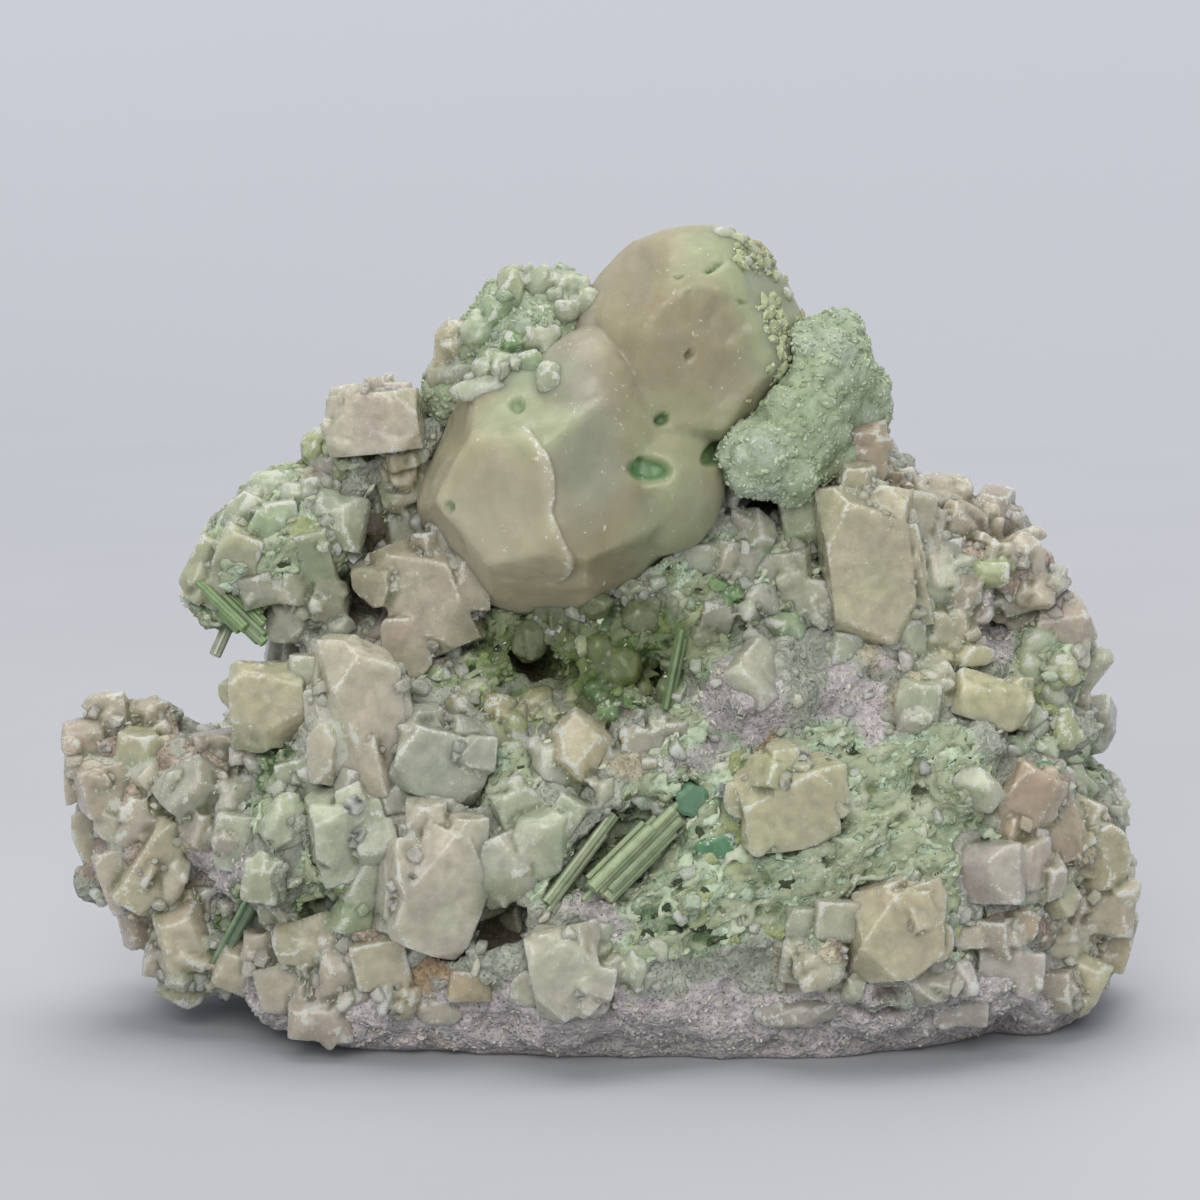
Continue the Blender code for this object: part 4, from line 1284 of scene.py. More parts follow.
# %% Large crystals
LARGE_TINTS = {
    "quartz_block_left": (198, 194, 170),
    "quartz_column_left": (210, 204, 190),
    "quartz_point_grey": (192, 195, 184),
    "quartz_square_left": (200, 206, 188),
    "quartz_slab_left": (207, 202, 190),
    "quartz_tablet_front": (208, 205, 194),
    "quartz_block_centre": (204, 199, 182),
    "albite_block_yellow": (206, 202, 176),
    "albite_plate_yellow": (208, 204, 176),
    "quartz_block_right": (206, 198, 176),
    "quartz_column_right": (204, 197, 176),
    "quartz_column_under": (196, 186, 172),
    "quartz_block_top_left": (208, 199, 188),
}
for number, (node, colour) in enumerate(LARGE_TINTS.items()):
    crystal = copy_solids("grown_" + node, node)
    chance = np.random.default_rng(200 + number)
    points = points_of(crystal)
    faces = np.array([face.vertices for face in crystal.data.polygons])
    middle = (points.min(axis=0) + points.max(axis=0)) / 2
    reach = (points.max(axis=0) - points.min(axis=0)) / 2
    tint = np.array(card_colour(*colour))
    cluster = Crop()
    shape = (points - middle) / reach
    cluster.add_shape(shape, faces, middle[None], np.eye(3)[None], reach[None] * 1.01, tint[None])
    for copy in range(5):
        around = chance.uniform(0.0, 2.0 * math.pi)
        way = np.array((math.cos(around), chance.uniform(-0.5, 0.3), math.sin(around)))
        upright = np.array(((0.0, 0.1, 1.0),)) + chance.normal(0.0, 0.2, (1, 3))
        turn = turned(upright, chance.normal(0.0, 0.3, 1))
        size = reach[None] * chance.uniform(0.3, 0.52, (1, 3))
        shade = chance.uniform(0.93, 1.06)
        cluster.add("wedge", middle[None] + way * reach * 0.76, turn, size, tint[None] * shade)
    crystal.data = cluster.join("cluster").data
    bpy.data.objects.remove(bpy.data.objects["cluster"])
    fuse(crystal, 0.36, 0.16, cloudy_crystal, smoothing=2, lumps=0.05, filling=0.12, stepping=0.2)
    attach(crystal, "root")
    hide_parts(node)

# %% [markdown]
# ## Green tourmaline
#
# Tourmaline grows in long prisms with fine grooves along their length, often several side by side.
# Each solid prism becomes a bundle: a cylinder whose every third edge is drawn in for the grooves,
# with thinner copies beside it.

# %% Tourmaline prisms
TOURMALINES = {
    "tourmaline_front_left": ((-6.4, 17.6, 28.5), (1.6, 28.2, 24.0), 2.5, 5, (180, 196, 158)),
    "tourmaline_front_right": ((-0.4, 19.0, 29.5), (9.0, 28.4, 24.5), 3.8, 12, (178, 196, 154)),
    "tourmaline_teal_stub": ((9.6, 31.4, 15.0), (11.2, 29.8, 25.0), 3.8, 1, (122, 166, 134)),
    "tourmaline_lower_left": ((-45.4, 10.8, 16.0), (-40.4, 20.2, 21.0), 2.6, 4, (160, 190, 154)),
    "tourmaline_under_pollucite": ((7.8, 40.6, 18.5), (9.8, 50.4, 16.5), 1.9, 4, (146, 172, 122)),
    "tourmaline_arm_spray": ((-47.6, 56.2, 12.0), (-40.6, 49.4, 15.0), 3.4, 12, (146, 176, 122)),
    "tourmaline_arm_tip": ((-43.4, 53.6, 8.0), (-46.2, 47.4, 10.0), 2.4, 3, (192, 202, 176)),
}
PRISM_SIDES = 18


def grooved_prism(foot, tip, width):
    """A prism from foot to tip, in mm, with grooves along it and a blunt end."""
    along = tip - foot
    deselect_all()
    bpy.ops.mesh.primitive_cylinder_add(
        vertices=PRISM_SIDES,
        radius=width / 2 * MM,
        depth=along.length * MM,
        location=(foot + tip) / 2 * MM,
        rotation=along.to_track_quat("Z", "Y").to_euler(),
    )
    prism = bpy.context.object
    bpy.ops.object.transform_apply(location=True, rotation=True, scale=True)
    axis = along.normalized()
    for number, vert in enumerate(prism.data.vertices):
        offset = vert.co / MM - foot
        beside = offset - axis * offset.dot(axis)
        if number // 2 % 3 == 1:
            vert.co -= beside * 0.13 * MM
    in_edit_mode(prism)
    bpy.ops.mesh.select_mode(type="FACE")
    bpy.ops.mesh.select_all(action="DESELECT")
    in_object_mode()
    top = max(prism.data.polygons, key=lambda face: (face.center / MM - foot).dot(axis))
    top.select = True
    bpy.ops.object.mode_set(mode="EDIT")
    bpy.ops.mesh.inset(thickness=width * 0.12 * MM, depth=width * 0.08 * MM)
    bpy.ops.mesh.select_mode(type="VERT")
    in_object_mode()
    return prism


grooved = new_material(
    "grooved_tourmaline",
    Transmission_Weight=0.3,
    Subsurface_Weight=0.5,
    Subsurface_Radius=(0.6, 1.0, 0.5),
    Subsurface_Scale=1.2 * MM,
    Roughness=0.3,
    IOR=1.62,
)
streaks = fitted(grooved, noise(grooved, 1.2, 3.0), 0.3, 0.7)
toned = blended(
    grooved, 1.0, stored_colour(grooved, "tint"),
    blended(grooved, streaks, (0.8, 0.84, 0.78, 1), (1.2, 1.16, 1.16, 1)), "MULTIPLY",
)
plug(grooved, "Base Color", toned)
for number, (node, (foot, tip, width, parts, colour)) in enumerate(TOURMALINES.items()):
    chance = np.random.default_rng(number + 70)
    foot, tip = spot(*foot), spot(*tip)
    prisms = [grooved_prism(foot, tip, width * (1.05 if parts < 3 else 0.62))]
    for part in range(parts - 1):
        shift = Vector(chance.uniform(-0.45, 0.45, 3)) * width
        stretch = chance.uniform(0.6, 0.98)
        thinner = width * chance.uniform(0.2, 0.42)
        prisms.append(grooved_prism(foot + shift, foot + shift + (tip - foot) * stretch, thinner))
    shades = [1.0] + list(chance.uniform(0.75, 1.35, parts))
    for prism, shade in zip(prisms, shades):
        tint = np.array(card_colour(*colour)) * shade
        store_colour(prism.data, "tint", np.tile(tint, (len(prism.data.vertices), 1)))
    deselect_all()
    for prism in prisms:
        prism.select_set(True)
    bundle = prisms[0]
    bpy.context.view_layer.objects.active = bundle
    if parts > 1:
        bpy.ops.object.join()
    bundle.name = "grooved_" + node
    bundle.data.materials.append(grooved)
    move_points(bundle, keep_in_box(points_of(bundle)))
    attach(bundle, "root")
    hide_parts(node)
print("tourmalines:", len(TOURMALINES))

# %% [markdown]
# ## The crystals of the show side, one by one
#
# The middle sized crystals of the front are listed from the drawing like a seating plan. Each is set
# where its line of sight meets the stone, lies in the direction in which it shows, and is pushed a
# little way in. Chance only tilts its front face.

# %% The seating plan
TINTS = {
    "rose": (198, 186, 174),
    "rosepale": (204, 194, 183),
    "rosegrey": (195, 187, 177),
    "rosecream": (204, 195, 178),
    "rosewhite": (209, 202, 193),
    "creamgreen": (199, 197, 174),
    "cream": (205, 198, 176),
    "creampale": (208, 204, 187),
    "creamamber": (204, 195, 171),
    "grey": (195, 194, 183),
    "greygreen": (193, 196, 180),
    "greybeige": (197, 194, 180),
    "greywhite": (204, 204, 193),
    "greylilac": (194, 189, 185),
    "mauve": (183, 174, 163),
    "mintgrey": (196, 200, 184),
    "mintpale": (200, 206, 187),
    "mintclear": (194, 200, 182),
    "mintwhite": (205, 209, 195),
    "mint": (197, 207, 185),
    "mintapple": (193, 205, 176),
    "greenmint": (176, 194, 164),
    "greenpale": (184, 197, 168),
    "green": (133, 168, 115),
    "apple": (184, 194, 155),
    "applepale": (194, 199, 166),
    "appleochre": (193, 189, 158),
    "applemint": (189, 199, 170),
    "teal": (104, 156, 120),
    "brownrose": (194, 176, 160),
    "brown": (156, 138, 120),
    "browngrey": (129, 118, 104),
    "beigerose": (199, 190, 174),
    "beigegreen": (194, 195, 172),
    "white": (214, 209, 197),
    "rust": (199, 182, 159),
    "lilacgrey": (196, 189, 185),
}
# Across, up, width, height and lean of the long side in degrees, in the drawing; kind and tint
PLACED = (
    (-61.8, 36.5, 6.0, 6.0, -15, "block", "rose"),
    (-58.6, 39.1, 7.2, 4.3, 78, "block", "rosepale"),
    (-54.2, 39.4, 4.3, 5.0, 10, "block", "rose"),
    (-54.6, 34.6, 5.5, 7.2, 8, "block", "creamgreen"),
    (-63.4, 32.8, 4.3, 5.5, -20, "block", "rosepale"),
    (-59.3, 31.0, 6.0, 6.2, -15, "wedge", "rose"),
    (-55.1, 27.2, 4.6, 5.8, 20, "block", "rosegrey"),
    (-61.0, 26.2, 4.6, 6.2, -22, "block", "rosepale"),
    (-48.5, 31.2, 6.0, 6.7, 30, "block", "grey"),
    (-46.3, 31.4, 4.1, 4.6, 40, "block", "mauve"),
    (-45.1, 35.5, 5.3, 7.2, 80, "wedge", "mauve"),
    (-53.2, 22.1, 5.5, 11.0, 28, "block", "cream"),
    (-51.6, 20.4, 3.6, 6.5, 20, "oval", "creampale"),
    (-57.4, 20.6, 4.6, 7.2, -18, "block", "rosepale"),
    (-49.9, 13.6, 5.5, 7.2, -15, "block", "rosecream"),
    (-48.8, 17.4, 4.3, 4.1, 0, "wedge", "rosegrey"),
    (-55.0, 15.4, 4.3, 5.5, -20, "block", "rose"),
    (-49.7, 7.8, 5.3, 4.6, 30, "block", "creamgreen"),
    (-46.1, 6.2, 4.6, 4.6, -20, "block", "greygreen"),
    (-52.8, 10.6, 3.6, 3.6, 10, "wedge", "rosegrey"),
    (-43.0, 25.0, 5.5, 6.2, 10, "block", "mintgrey"),
    (-43.2, 30.0, 4.8, 5.3, -20, "block", "grey"),
    (-47.4, 26.4, 4.8, 4.3, 0, "wedge", "rosegrey"),
    (-40.6, 20.4, 4.1, 4.8, 10, "block", "mintgrey"),
    (-34.4, 42.0, 4.8, 10.1, 4, "block", "creampale"),
    (-37.0, 49.0, 5.3, 5.5, 8, "block", "greywhite"),
    (-32.4, 47.4, 4.8, 5.0, -16, "block", "grey"),
    (-26.4, 47.3, 3.1, 12.5, 49, "block", "rosegrey"),
    (-24.2, 40.1, 4.3, 5.8, -32, "wedge", "mauve"),
    (-24.5, 44.9, 3.8, 4.1, 0, "block", "grey"),
    (-27.4, 31.2, 3.4, 3.6, 20, "oval", "grey"),
    (-24.2, 30.5, 3.6, 3.8, -10, "block", "greygreen"),
    (-21.5, 31.1, 3.4, 3.4, 0, "oval", "grey"),
    (-20.0, 28.6, 3.1, 3.1, 30, "block", "greywhite"),
    (-17.4, 28.0, 3.1, 2.9, -20, "oval", "grey"),
    (-30.0, 31.7, 3.1, 3.6, 10, "block", "grey"),
    (-25.9, 25.4, 3.4, 4.6, 25, "oval", "greygreen"),
    (-27.5, 20.5, 5.3, 5.5, 14, "block", "mintpale"),
    (-32.6, 21.8, 5.0, 4.3, 0, "wedge", "greygreen"),
    (-38.5, 16.7, 4.3, 6.0, -30, "oval", "greybeige"),
    (-29.2, 16.2, 4.8, 4.1, 6, "block", "greenpale"),
    (-34.1, 13.2, 4.8, 8.9, 76, "block", "rosecream"),
    (-29.8, 8.6, 7.4, 6.2, 10, "block", "rosepale"),
    (-26.2, 10.6, 6.0, 5.8, -10, "wedge", "rosecream"),
    (-23.4, 6.0, 3.4, 4.3, 6, "oval", "cream"),
    (-39.6, 11.8, 5.8, 5.0, 0, "block", "rosepale"),
    (-42.7, 10.1, 6.0, 5.8, 20, "block", "rosecream"),
    (-37.1, 7.7, 6.7, 5.5, -10, "wedge", "rosepale"),
    (-33.4, 3.8, 7.2, 4.6, 4, "block", "rosegrey"),
    (-24.2, 19.9, 3.8, 6.0, -8, "block", "mintpale"),
    (-23.4, 15.0, 5.0, 6.2, 10, "block", "mintgrey"),
    (-36.0, 32.4, 4.3, 4.8, -12, "wedge", "mintgrey"),
    (-37.8, 27.6, 4.1, 4.8, 16, "block", "mintpale"),
    (-11.8, 21.8, 5.8, 7.4, -20, "block", "grey"),
    (-10.6, 17.0, 5.0, 5.8, 12, "wedge", "greybeige"),
    (-14.6, 24.5, 4.1, 4.8, 20, "block", "greygreen"),
    (-7.6, 25.4, 6.5, 7.7, 20, "block", "mintclear"),
    (-9.8, 28.6, 4.8, 5.5, -24, "wedge", "mintclear"),
    (-4.4, 27.4, 3.4, 6.0, 34, "wedge", "mintclear"),
    (-3.0, 32.9, 4.6, 5.0, 12, "block", "grey"),
    (-5.5, 35.3, 5.0, 5.0, 0, "block", "greywhite"),
    (5.0, 36.5, 4.3, 4.1, 20, "wedge", "greybeige"),
    (-15.6, 31.2, 4.8, 4.3, 0, "wedge", "greygreen"),
    (-10.6, 39.0, 3.6, 3.8, 0, "oval", "apple"),
    (-13.2, 37.6, 3.4, 3.4, 0, "oval", "applepale"),
    (-7.7, 42.0, 2.9, 4.6, 70, "oval", "appleochre"),
    (-15.4, 43.2, 3.1, 5.0, 70, "oval", "applepale"),
    (-17.4, 41.5, 3.1, 3.1, 0, "oval", "appleochre"),
    (-5.9, 40.1, 2.6, 2.9, 0, "oval", "applepale"),
    (-12.0, 41.2, 3.6, 3.1, 0, "oval", "appleochre"),
    (-9.1, 36.0, 3.6, 3.1, 0, "oval", "applepale"),
    (1.1, 50.8, 3.8, 3.8, 0, "oval", "green"),
    (0.0, 47.8, 3.6, 4.3, 0, "oval", "apple"),
    (5.0, 51.6, 4.6, 4.1, 0, "oval", "greygreen"),
    (-0.7, 53.5, 3.6, 3.4, 0, "oval", "greygreen"),
    (2.6, 46.1, 4.6, 4.8, 0, "oval", "apple"),
    (-0.4, 43.2, 3.6, 2.9, 0, "oval", "green"),
    (6.0, 47.8, 3.1, 3.8, 0, "oval", "greenpale"),
    (-2.9, 51.4, 3.1, 4.8, 0, "oval", "greygreen"),
    (-5.8, 52.6, 3.6, 5.3, 0, "wedge", "grey"),
    (-8.4, 49.2, 4.1, 4.8, 0, "oval", "grey"),
    (3.4, 54.7, 3.6, 6.5, 80, "oval", "greygreen"),
    (1.2, 40.6, 3.1, 3.1, 0, "oval", "green"),
    (4.8, 43.2, 2.9, 3.1, 0, "oval", "applepale"),
    (12.0, 49.2, 3.6, 3.6, 0, "oval", "greygreen"),
    (13.8, 51.8, 3.6, 3.6, 10, "wedge", "grey"),
    (14.9, 54.1, 2.9, 3.4, 12, "block", "green"),
    (14.2, 24.2, 2.9, 4.3, 70, "wedge", "teal"),
    (8.2, 37.8, 4.8, 3.6, 0, "wedge", "greybeige"),
    (3.8, 9.8, 3.8, 3.6, 0, "oval", "mintgrey"),
    (6.8, 11.8, 3.1, 3.1, 0, "oval", "mintpale"),
    (0.0, 13.8, 4.1, 3.1, 0, "wedge", "mintgrey"),
    (-8.4, 7.8, 4.1, 4.1, 10, "block", "greybeige"),
    (-15.6, 7.8, 4.8, 3.6, 0, "wedge", "rust"),
    (-19.2, 4.8, 5.3, 3.6, 0, "oval", "rosegrey"),
    (31.9, 73.2, 4.8, 4.3, -6, "block", "brownrose"),
    (31.0, 69.8, 6.5, 4.8, -8, "block", "brownrose"),
    (33.4, 66.7, 3.6, 6.7, 80, "block", "brown"),
    (34.1, 68.6, 1.2, 7.2, 80, "block", "white"),
    (37.7, 67.0, 2.9, 2.9, 0, "wedge", "rosewhite"),
    (41.0, 65.3, 6.2, 6.7, 2, "block", "rosepale"),
    (39.0, 61.8, 4.3, 6.0, 8, "block", "rosegrey"),
    (43.0, 62.4, 6.0, 5.5, 14, "block", "rose"),
    (46.1, 62.6, 3.8, 6.2, 20, "point", "rose"),
    (48.4, 62.2, 3.6, 6.5, 34, "point", "rosepale"),
    (50.2, 60.2, 3.4, 6.0, 46, "point", "rose"),
    (47.8, 58.8, 3.6, 4.8, 30, "point", "rosegrey"),
    (52.3, 58.3, 2.6, 5.5, 4, "point", "rosegrey"),
    (52.3, 54.7, 3.8, 7.9, 68, "point", "rosegrey"),
    (55.7, 50.9, 6.2, 6.0, 60, "block", "rosepale"),
    (57.1, 48.5, 3.6, 4.8, 10, "oval", "rosepale"),
    (55.2, 54.0, 3.1, 4.8, 50, "point", "rose"),
    (46.6, 57.1, 3.1, 4.8, 82, "wedge", "apple"),
    (41.0, 59.8, 4.8, 2.9, 0, "wedge", "greylilac"),
    (40.8, 57.4, 4.1, 2.9, 80, "wedge", "white"),
    (43.1, 55.3, 4.6, 4.6, 20, "block", "mauve"),
    (44.6, 54.5, 2.6, 2.9, 0, "oval", "rosewhite"),
    (48.1, 53.5, 2.6, 4.1, 20, "block", "rosecream"),
    (50.4, 52.2, 3.1, 3.6, 0, "wedge", "rosegrey"),
    (34.1, 62.2, 4.8, 13.0, 6, "block", "beigerose"),
    (36.6, 60.2, 4.3, 13.2, 10, "block", "creampale"),
    (29.8, 63.6, 3.8, 11.0, -2, "block", "creamgreen"),
    (32.2, 54.0, 5.3, 6.7, 0, "block", "rosewhite"),
    (39.0, 54.0, 5.0, 8.4, 24, "block", "mintpale"),
    (42.0, 48.0, 5.3, 8.4, -8, "block", "cream"),
    (40.2, 49.2, 4.8, 7.2, 10, "wedge", "creamgreen"),
    (36.6, 49.2, 4.8, 5.3, 0, "wedge", "greygreen"),
    (39.8, 43.7, 7.2, 5.5, 66, "block", "greybeige"),
    (38.2, 41.3, 4.8, 5.5, 10, "wedge", "greygreen"),
    (25.2, 64.1, 6.0, 7.2, 0, "wedge", "applemint"),
    (26.6, 67.4, 4.1, 4.8, 10, "oval", "mintpale"),
    (27.4, 60.6, 3.6, 4.1, 0, "oval", "applepale"),
    (22.3, 57.0, 5.5, 5.5, 0, "wedge", "greybeige"),
    (22.6, 50.6, 4.1, 3.8, 0, "oval", "greenmint"),
    (26.4, 54.0, 5.3, 4.8, 14, "block", "greybeige"),
    (19.2, 54.0, 4.3, 4.1, -10, "wedge", "grey"),
    (17.4, 58.2, 4.1, 4.1, 0, "wedge", "greybeige"),
    (30.0, 48.0, 4.8, 3.8, 0, "wedge", "greygreen"),
    (52.8, 49.0, 4.1, 3.6, 0, "oval", "mint"),
    (51.6, 45.8, 3.6, 3.8, 0, "oval", "mintapple"),
    (55.4, 45.8, 3.6, 3.6, 0, "oval", "applepale"),
    (54.0, 42.2, 4.1, 3.8, 0, "oval", "mint"),
    (51.4, 40.1, 3.4, 3.4, 0, "oval", "mint"),
    (55.9, 38.2, 3.4, 4.3, 0, "oval", "applepale"),
    (52.8, 36.2, 3.8, 3.4, 0, "oval", "mint"),
    (49.8, 36.2, 3.6, 3.1, 0, "oval", "greenmint"),
    (57.6, 42.0, 2.4, 4.8, 0, "oval", "rosepale"),
    (36.6, 17.4, 6.0, 5.8, 14, "block", "greybeige"),
    (32.6, 13.4, 4.3, 4.3, 0, "wedge", "cream"),
    (26.4, 9.6, 4.3, 5.5, 80, "oval", "creampale"),
    (30.1, 10.1, 4.3, 6.0, 74, "block", "rosecream"),
    (38.5, 8.9, 5.3, 7.4, -62, "wedge", "grey"),
    (23.6, 10.8, 3.6, 5.0, 4, "block", "greybeige"),
    (28.3, 15.5, 5.3, 4.6, 0, "wedge", "greybeige"),
    (24.7, 15.0, 4.1, 4.3, 0, "wedge", "greygreen"),
    (51.6, 30.0, 6.7, 7.4, 22, "block", "brownrose"),
    (54.2, 25.7, 6.2, 6.7, -30, "wedge", "brownrose"),
    (49.2, 25.2, 4.8, 4.8, 0, "wedge", "brownrose"),
    (45.4, 21.4, 10.1, 6.5, 2, "block", "lilacgrey"),
    (60.0, 23.8, 6.7, 7.2, -8, "block", "creamamber"),
    (61.0, 17.4, 6.0, 6.2, 4, "block", "rosecream"),
    (55.2, 13.0, 6.0, 4.8, 0, "block", "creampale"),
    (58.6, 8.6, 4.1, 4.8, 24, "block", "cream"),
    (61.2, 13.4, 4.8, 7.2, 10, "wedge", "creamamber"),
    (54.5, 18.5, 4.3, 5.0, -8, "wedge", "creamgreen"),
    (51.6, 20.4, 4.1, 4.8, 10, "block", "rosecream"),
    (57.6, 27.6, 4.8, 5.3, 30, "wedge", "rosecream"),
    (57.1, 31.2, 3.1, 6.0, 10, "block", "mintpale"),
    (46.6, 13.7, 5.5, 4.3, 4, "wedge", "rosegrey"),
    (50.4, 15.0, 4.3, 3.6, 0, "block", "brownrose"),
    (54.0, 7.2, 5.3, 4.8, 0, "wedge", "rosegrey"),
    (49.2, 9.6, 7.2, 4.3, 0, "wedge", "lilacgrey"),
    (43.2, 4.8, 6.0, 3.6, 0, "wedge", "lilacgrey"),
    (24.0, 4.8, 3.6, 9.6, 84, "oval", "lilacgrey"),
    (53.2, 33.6, 1.8, 1.9, 2, "block", "teal"),
    (-46.6, 57.4, 5.3, 7.2, 30, "wedge", "beigegreen"),
    (-43.4, 59.8, 4.8, 5.3, 20, "wedge", "creamgreen"),
    (-40.6, 61.9, 3.6, 5.3, 25, "wedge", "greenmint"),
    (-42.4, 64.2, 4.1, 4.8, 30, "wedge", "mint"),
    (-38.4, 63.6, 3.6, 4.3, -10, "wedge", "mint"),
    (-31.6, 63.2, 6.5, 6.2, 10, "block", "mintwhite"),
    (-34.1, 59.2, 3.8, 6.2, -8, "wedge", "mint"),
    (-30.0, 59.0, 1.9, 5.3, -50, "block", "mintwhite"),
    (-26.3, 57.8, 4.6, 3.8, -12, "block", "greywhite"),
    (-36.0, 66.0, 5.3, 4.3, 0, "oval", "mintwhite"),
    (-39.6, 67.4, 5.3, 4.3, 0, "oval", "mint"),
    (-33.4, 72.7, 4.6, 4.1, 0, "block", "applepale"),
    (-27.0, 71.8, 4.8, 5.5, -14, "wedge", "greenmint"),
    (-23.5, 72.4, 2.9, 4.3, 80, "block", "greenmint"),
    (-23.5, 68.4, 6.0, 5.3, -15, "block", "creamgreen"),
    (-29.8, 70.8, 3.8, 4.6, 0, "oval", "applepale"),
    (-23.8, 75.1, 4.8, 4.8, 0, "hex", "greygreen"),
    (-28.8, 77.5, 7.2, 4.3, 8, "block", "rosewhite"),
    (-25.0, 78.2, 4.8, 3.6, 0, "block", "rosepale"),
    (-30.6, 79.0, 3.6, 3.1, 0, "oval", "creamgreen"),
    (-27.0, 67.2, 1.9, 5.5, -40, "block", "mintwhite"),
    (-22.6, 63.4, 5.0, 6.5, 8, "block", "mintgrey"),
    (-37.2, 51.6, 5.0, 5.0, 8, "block", "greywhite"),
    (-36.2, 48.0, 3.8, 4.1, 0, "block", "grey"),
    (-40.6, 55.2, 4.8, 3.6, -14, "wedge", "greygreen"),
    (-36.0, 55.8, 5.5, 4.3, 0, "wedge", "greybeige"),
    (-32.4, 54.0, 4.3, 4.8, 0, "wedge", "grey"),
    (-27.6, 63.0, 4.1, 4.1, 0, "wedge", "browngrey"),
    (-31.8, 69.6, 4.8, 3.6, 0, "wedge", "lilacgrey"),
    (-17.4, 58.8, 4.3, 9.6, -18, "block", "beigerose"),
    (-23.0, 55.2, 4.3, 10.8, -20, "block", "rosegrey"),
    (-14.4, 52.8, 4.1, 6.0, -10, "wedge", "greygreen"),
    (-11.0, 91.2, 4.1, 4.3, 10, "block", "applemint"),
    (-8.9, 93.1, 3.6, 3.1, 0, "block", "greenmint"),
    (-6.6, 91.8, 4.8, 4.1, 0, "oval", "mintpale"),
    (-3.6, 91.2, 4.3, 4.3, 0, "oval", "mint"),
    (-1.2, 89.8, 2.9, 3.6, 0, "oval", "mint"),
    (-4.8, 88.6, 4.6, 3.1, 0, "oval", "mintpale"),
    (-12.2, 88.3, 3.6, 3.6, 14, "wedge", "greenmint"),
    (-14.4, 86.2, 4.1, 4.1, 0, "oval", "mint"),
    (-10.2, 84.0, 3.4, 3.6, 20, "block", "green"),
    (-12.0, 82.1, 5.3, 3.1, 0, "oval", "mintpale"),
    (-7.0, 85.0, 4.1, 3.6, 0, "oval", "mintpale"),
    (-8.2, 82.1, 2.9, 3.4, -14, "block", "greenmint"),
    (-17.8, 85.0, 3.8, 5.0, 4, "block", "cream"),
    (-17.0, 81.4, 2.9, 6.0, 76, "oval", "mintpale"),
    (-14.4, 79.2, 2.6, 6.5, 80, "oval", "mintpale"),
    (-19.0, 81.4, 3.4, 3.6, -10, "block", "creamgreen"),
    (-17.0, 87.4, 2.6, 2.9, 0, "block", "applepale"),
    (-6.0, 80.6, 3.1, 4.1, 0, "oval", "mintpale"),
    (14.6, 97.9, 2.2, 1.7, 0, "oval", "mintpale"),
    (16.6, 97.2, 1.9, 1.7, 0, "oval", "applepale"),
    (18.2, 95.8, 1.9, 1.7, 0, "oval", "applepale"),
    (19.7, 94.3, 1.7, 1.7, 0, "oval", "apple"),
    (20.9, 92.9, 1.7, 1.7, 0, "oval", "applepale"),
    (22.3, 90.7, 1.7, 1.7, 0, "oval", "applepale"),
    (17.4, 94.6, 1.7, 1.4, 0, "oval", "mintpale"),
    (15.6, 58.8, 4.3, 4.3, 0, "wedge", "greybeige"),
    (12.0, 58.8, 3.6, 4.1, 0, "wedge", "greygreen"),
)

# %% Setting them in place
depsgraph = bpy.context.evaluated_depsgraph_get()
carriers = [BVHTree.FromObject(piece, depsgraph) for piece in (rock, pollucite, knob, druse)]
crowds = {"left": Crop(), "middle": Crop(), "right": Crop()}


def crowd_at(across):
    return crowds["left" if across < -22.0 else "right" if across > 22.0 else "middle"]


def surface_at(across, up):
    """Where the line of sight through a place of the drawing first meets the stone, in mm."""
    rays = [tree.ray_cast(EYE * MM, sight_line(across, up)) for tree in carriers]
    hits = [(far, tuple(hit)) for hit, _, _, far in rays if hit is not None]
    return np.array(min(hits)[1]) / MM if hits else None


chance = np.random.default_rng(90)
missed = []
for across, up, width, height, lean, kind, tint in PLACED:
    place = surface_at(across, up)
    tilt = chance.normal(0.0, 0.32, 3)
    depth = chance.uniform(0.62, 0.9) * min(width, height)
    if place is None:
        missed.append((across, up))
        continue
    away = np.array(sight_line(across, up))
    angle = math.radians(lean)
    along = np.array((math.sin(angle), 0.0, math.cos(angle))) + 0.3 * tilt
    front = -away + tilt
    if kind in ("hex", "point") and width > 0.9 * height:
        along, front = front, along
    along /= np.linalg.norm(along)
    side = np.cross(front, along)
    side /= np.linalg.norm(side)
    turn = np.stack((side, np.cross(along, side), along), axis=1)
    centre = place + away * depth * chance.uniform(0.1, 0.3)
    sizes = np.array((width / 2, depth / 2, height / 2)) * 1.06
    shade = 1.0 + chance.normal(0.0, 0.03)
    colour = np.array(card_colour(*TINTS[tint])) * shade
    crop = crowd_at(across)
    crop.add(kind, centre[None], turn[None], sizes[None], colour[None])
    for _ in range(3 if min(width, height) > 3.0 else 0):
        way = chance.normal(0.0, 1.0, 3)
        beside = centre + turn @ (way / np.linalg.norm(way) * sizes * 0.85)
        leaning = turned(along[None] + chance.normal(0.0, 0.4, (1, 3)), chance.uniform(0.0, 6.3, 1))
        smaller = sizes[None] * chance.uniform(0.3, 0.6, (1, 3))
        crop.add("block", beside[None], leaning, smaller, colour[None] * chance.uniform(0.92, 1.08))
print("placed:", len(PLACED) - len(missed), "missed:", missed)

# %% [markdown]
# ## Sowing the smaller crystals
#
# Where the rest may sit follows from the minerals: feldspar and quartz crowd the left side, the foot
# and the right edge, granules make up the mint crust, and lilac mica lies in scales. Larger ones keep
# a distance from each other, thousands of small ones fill the gaps between them.

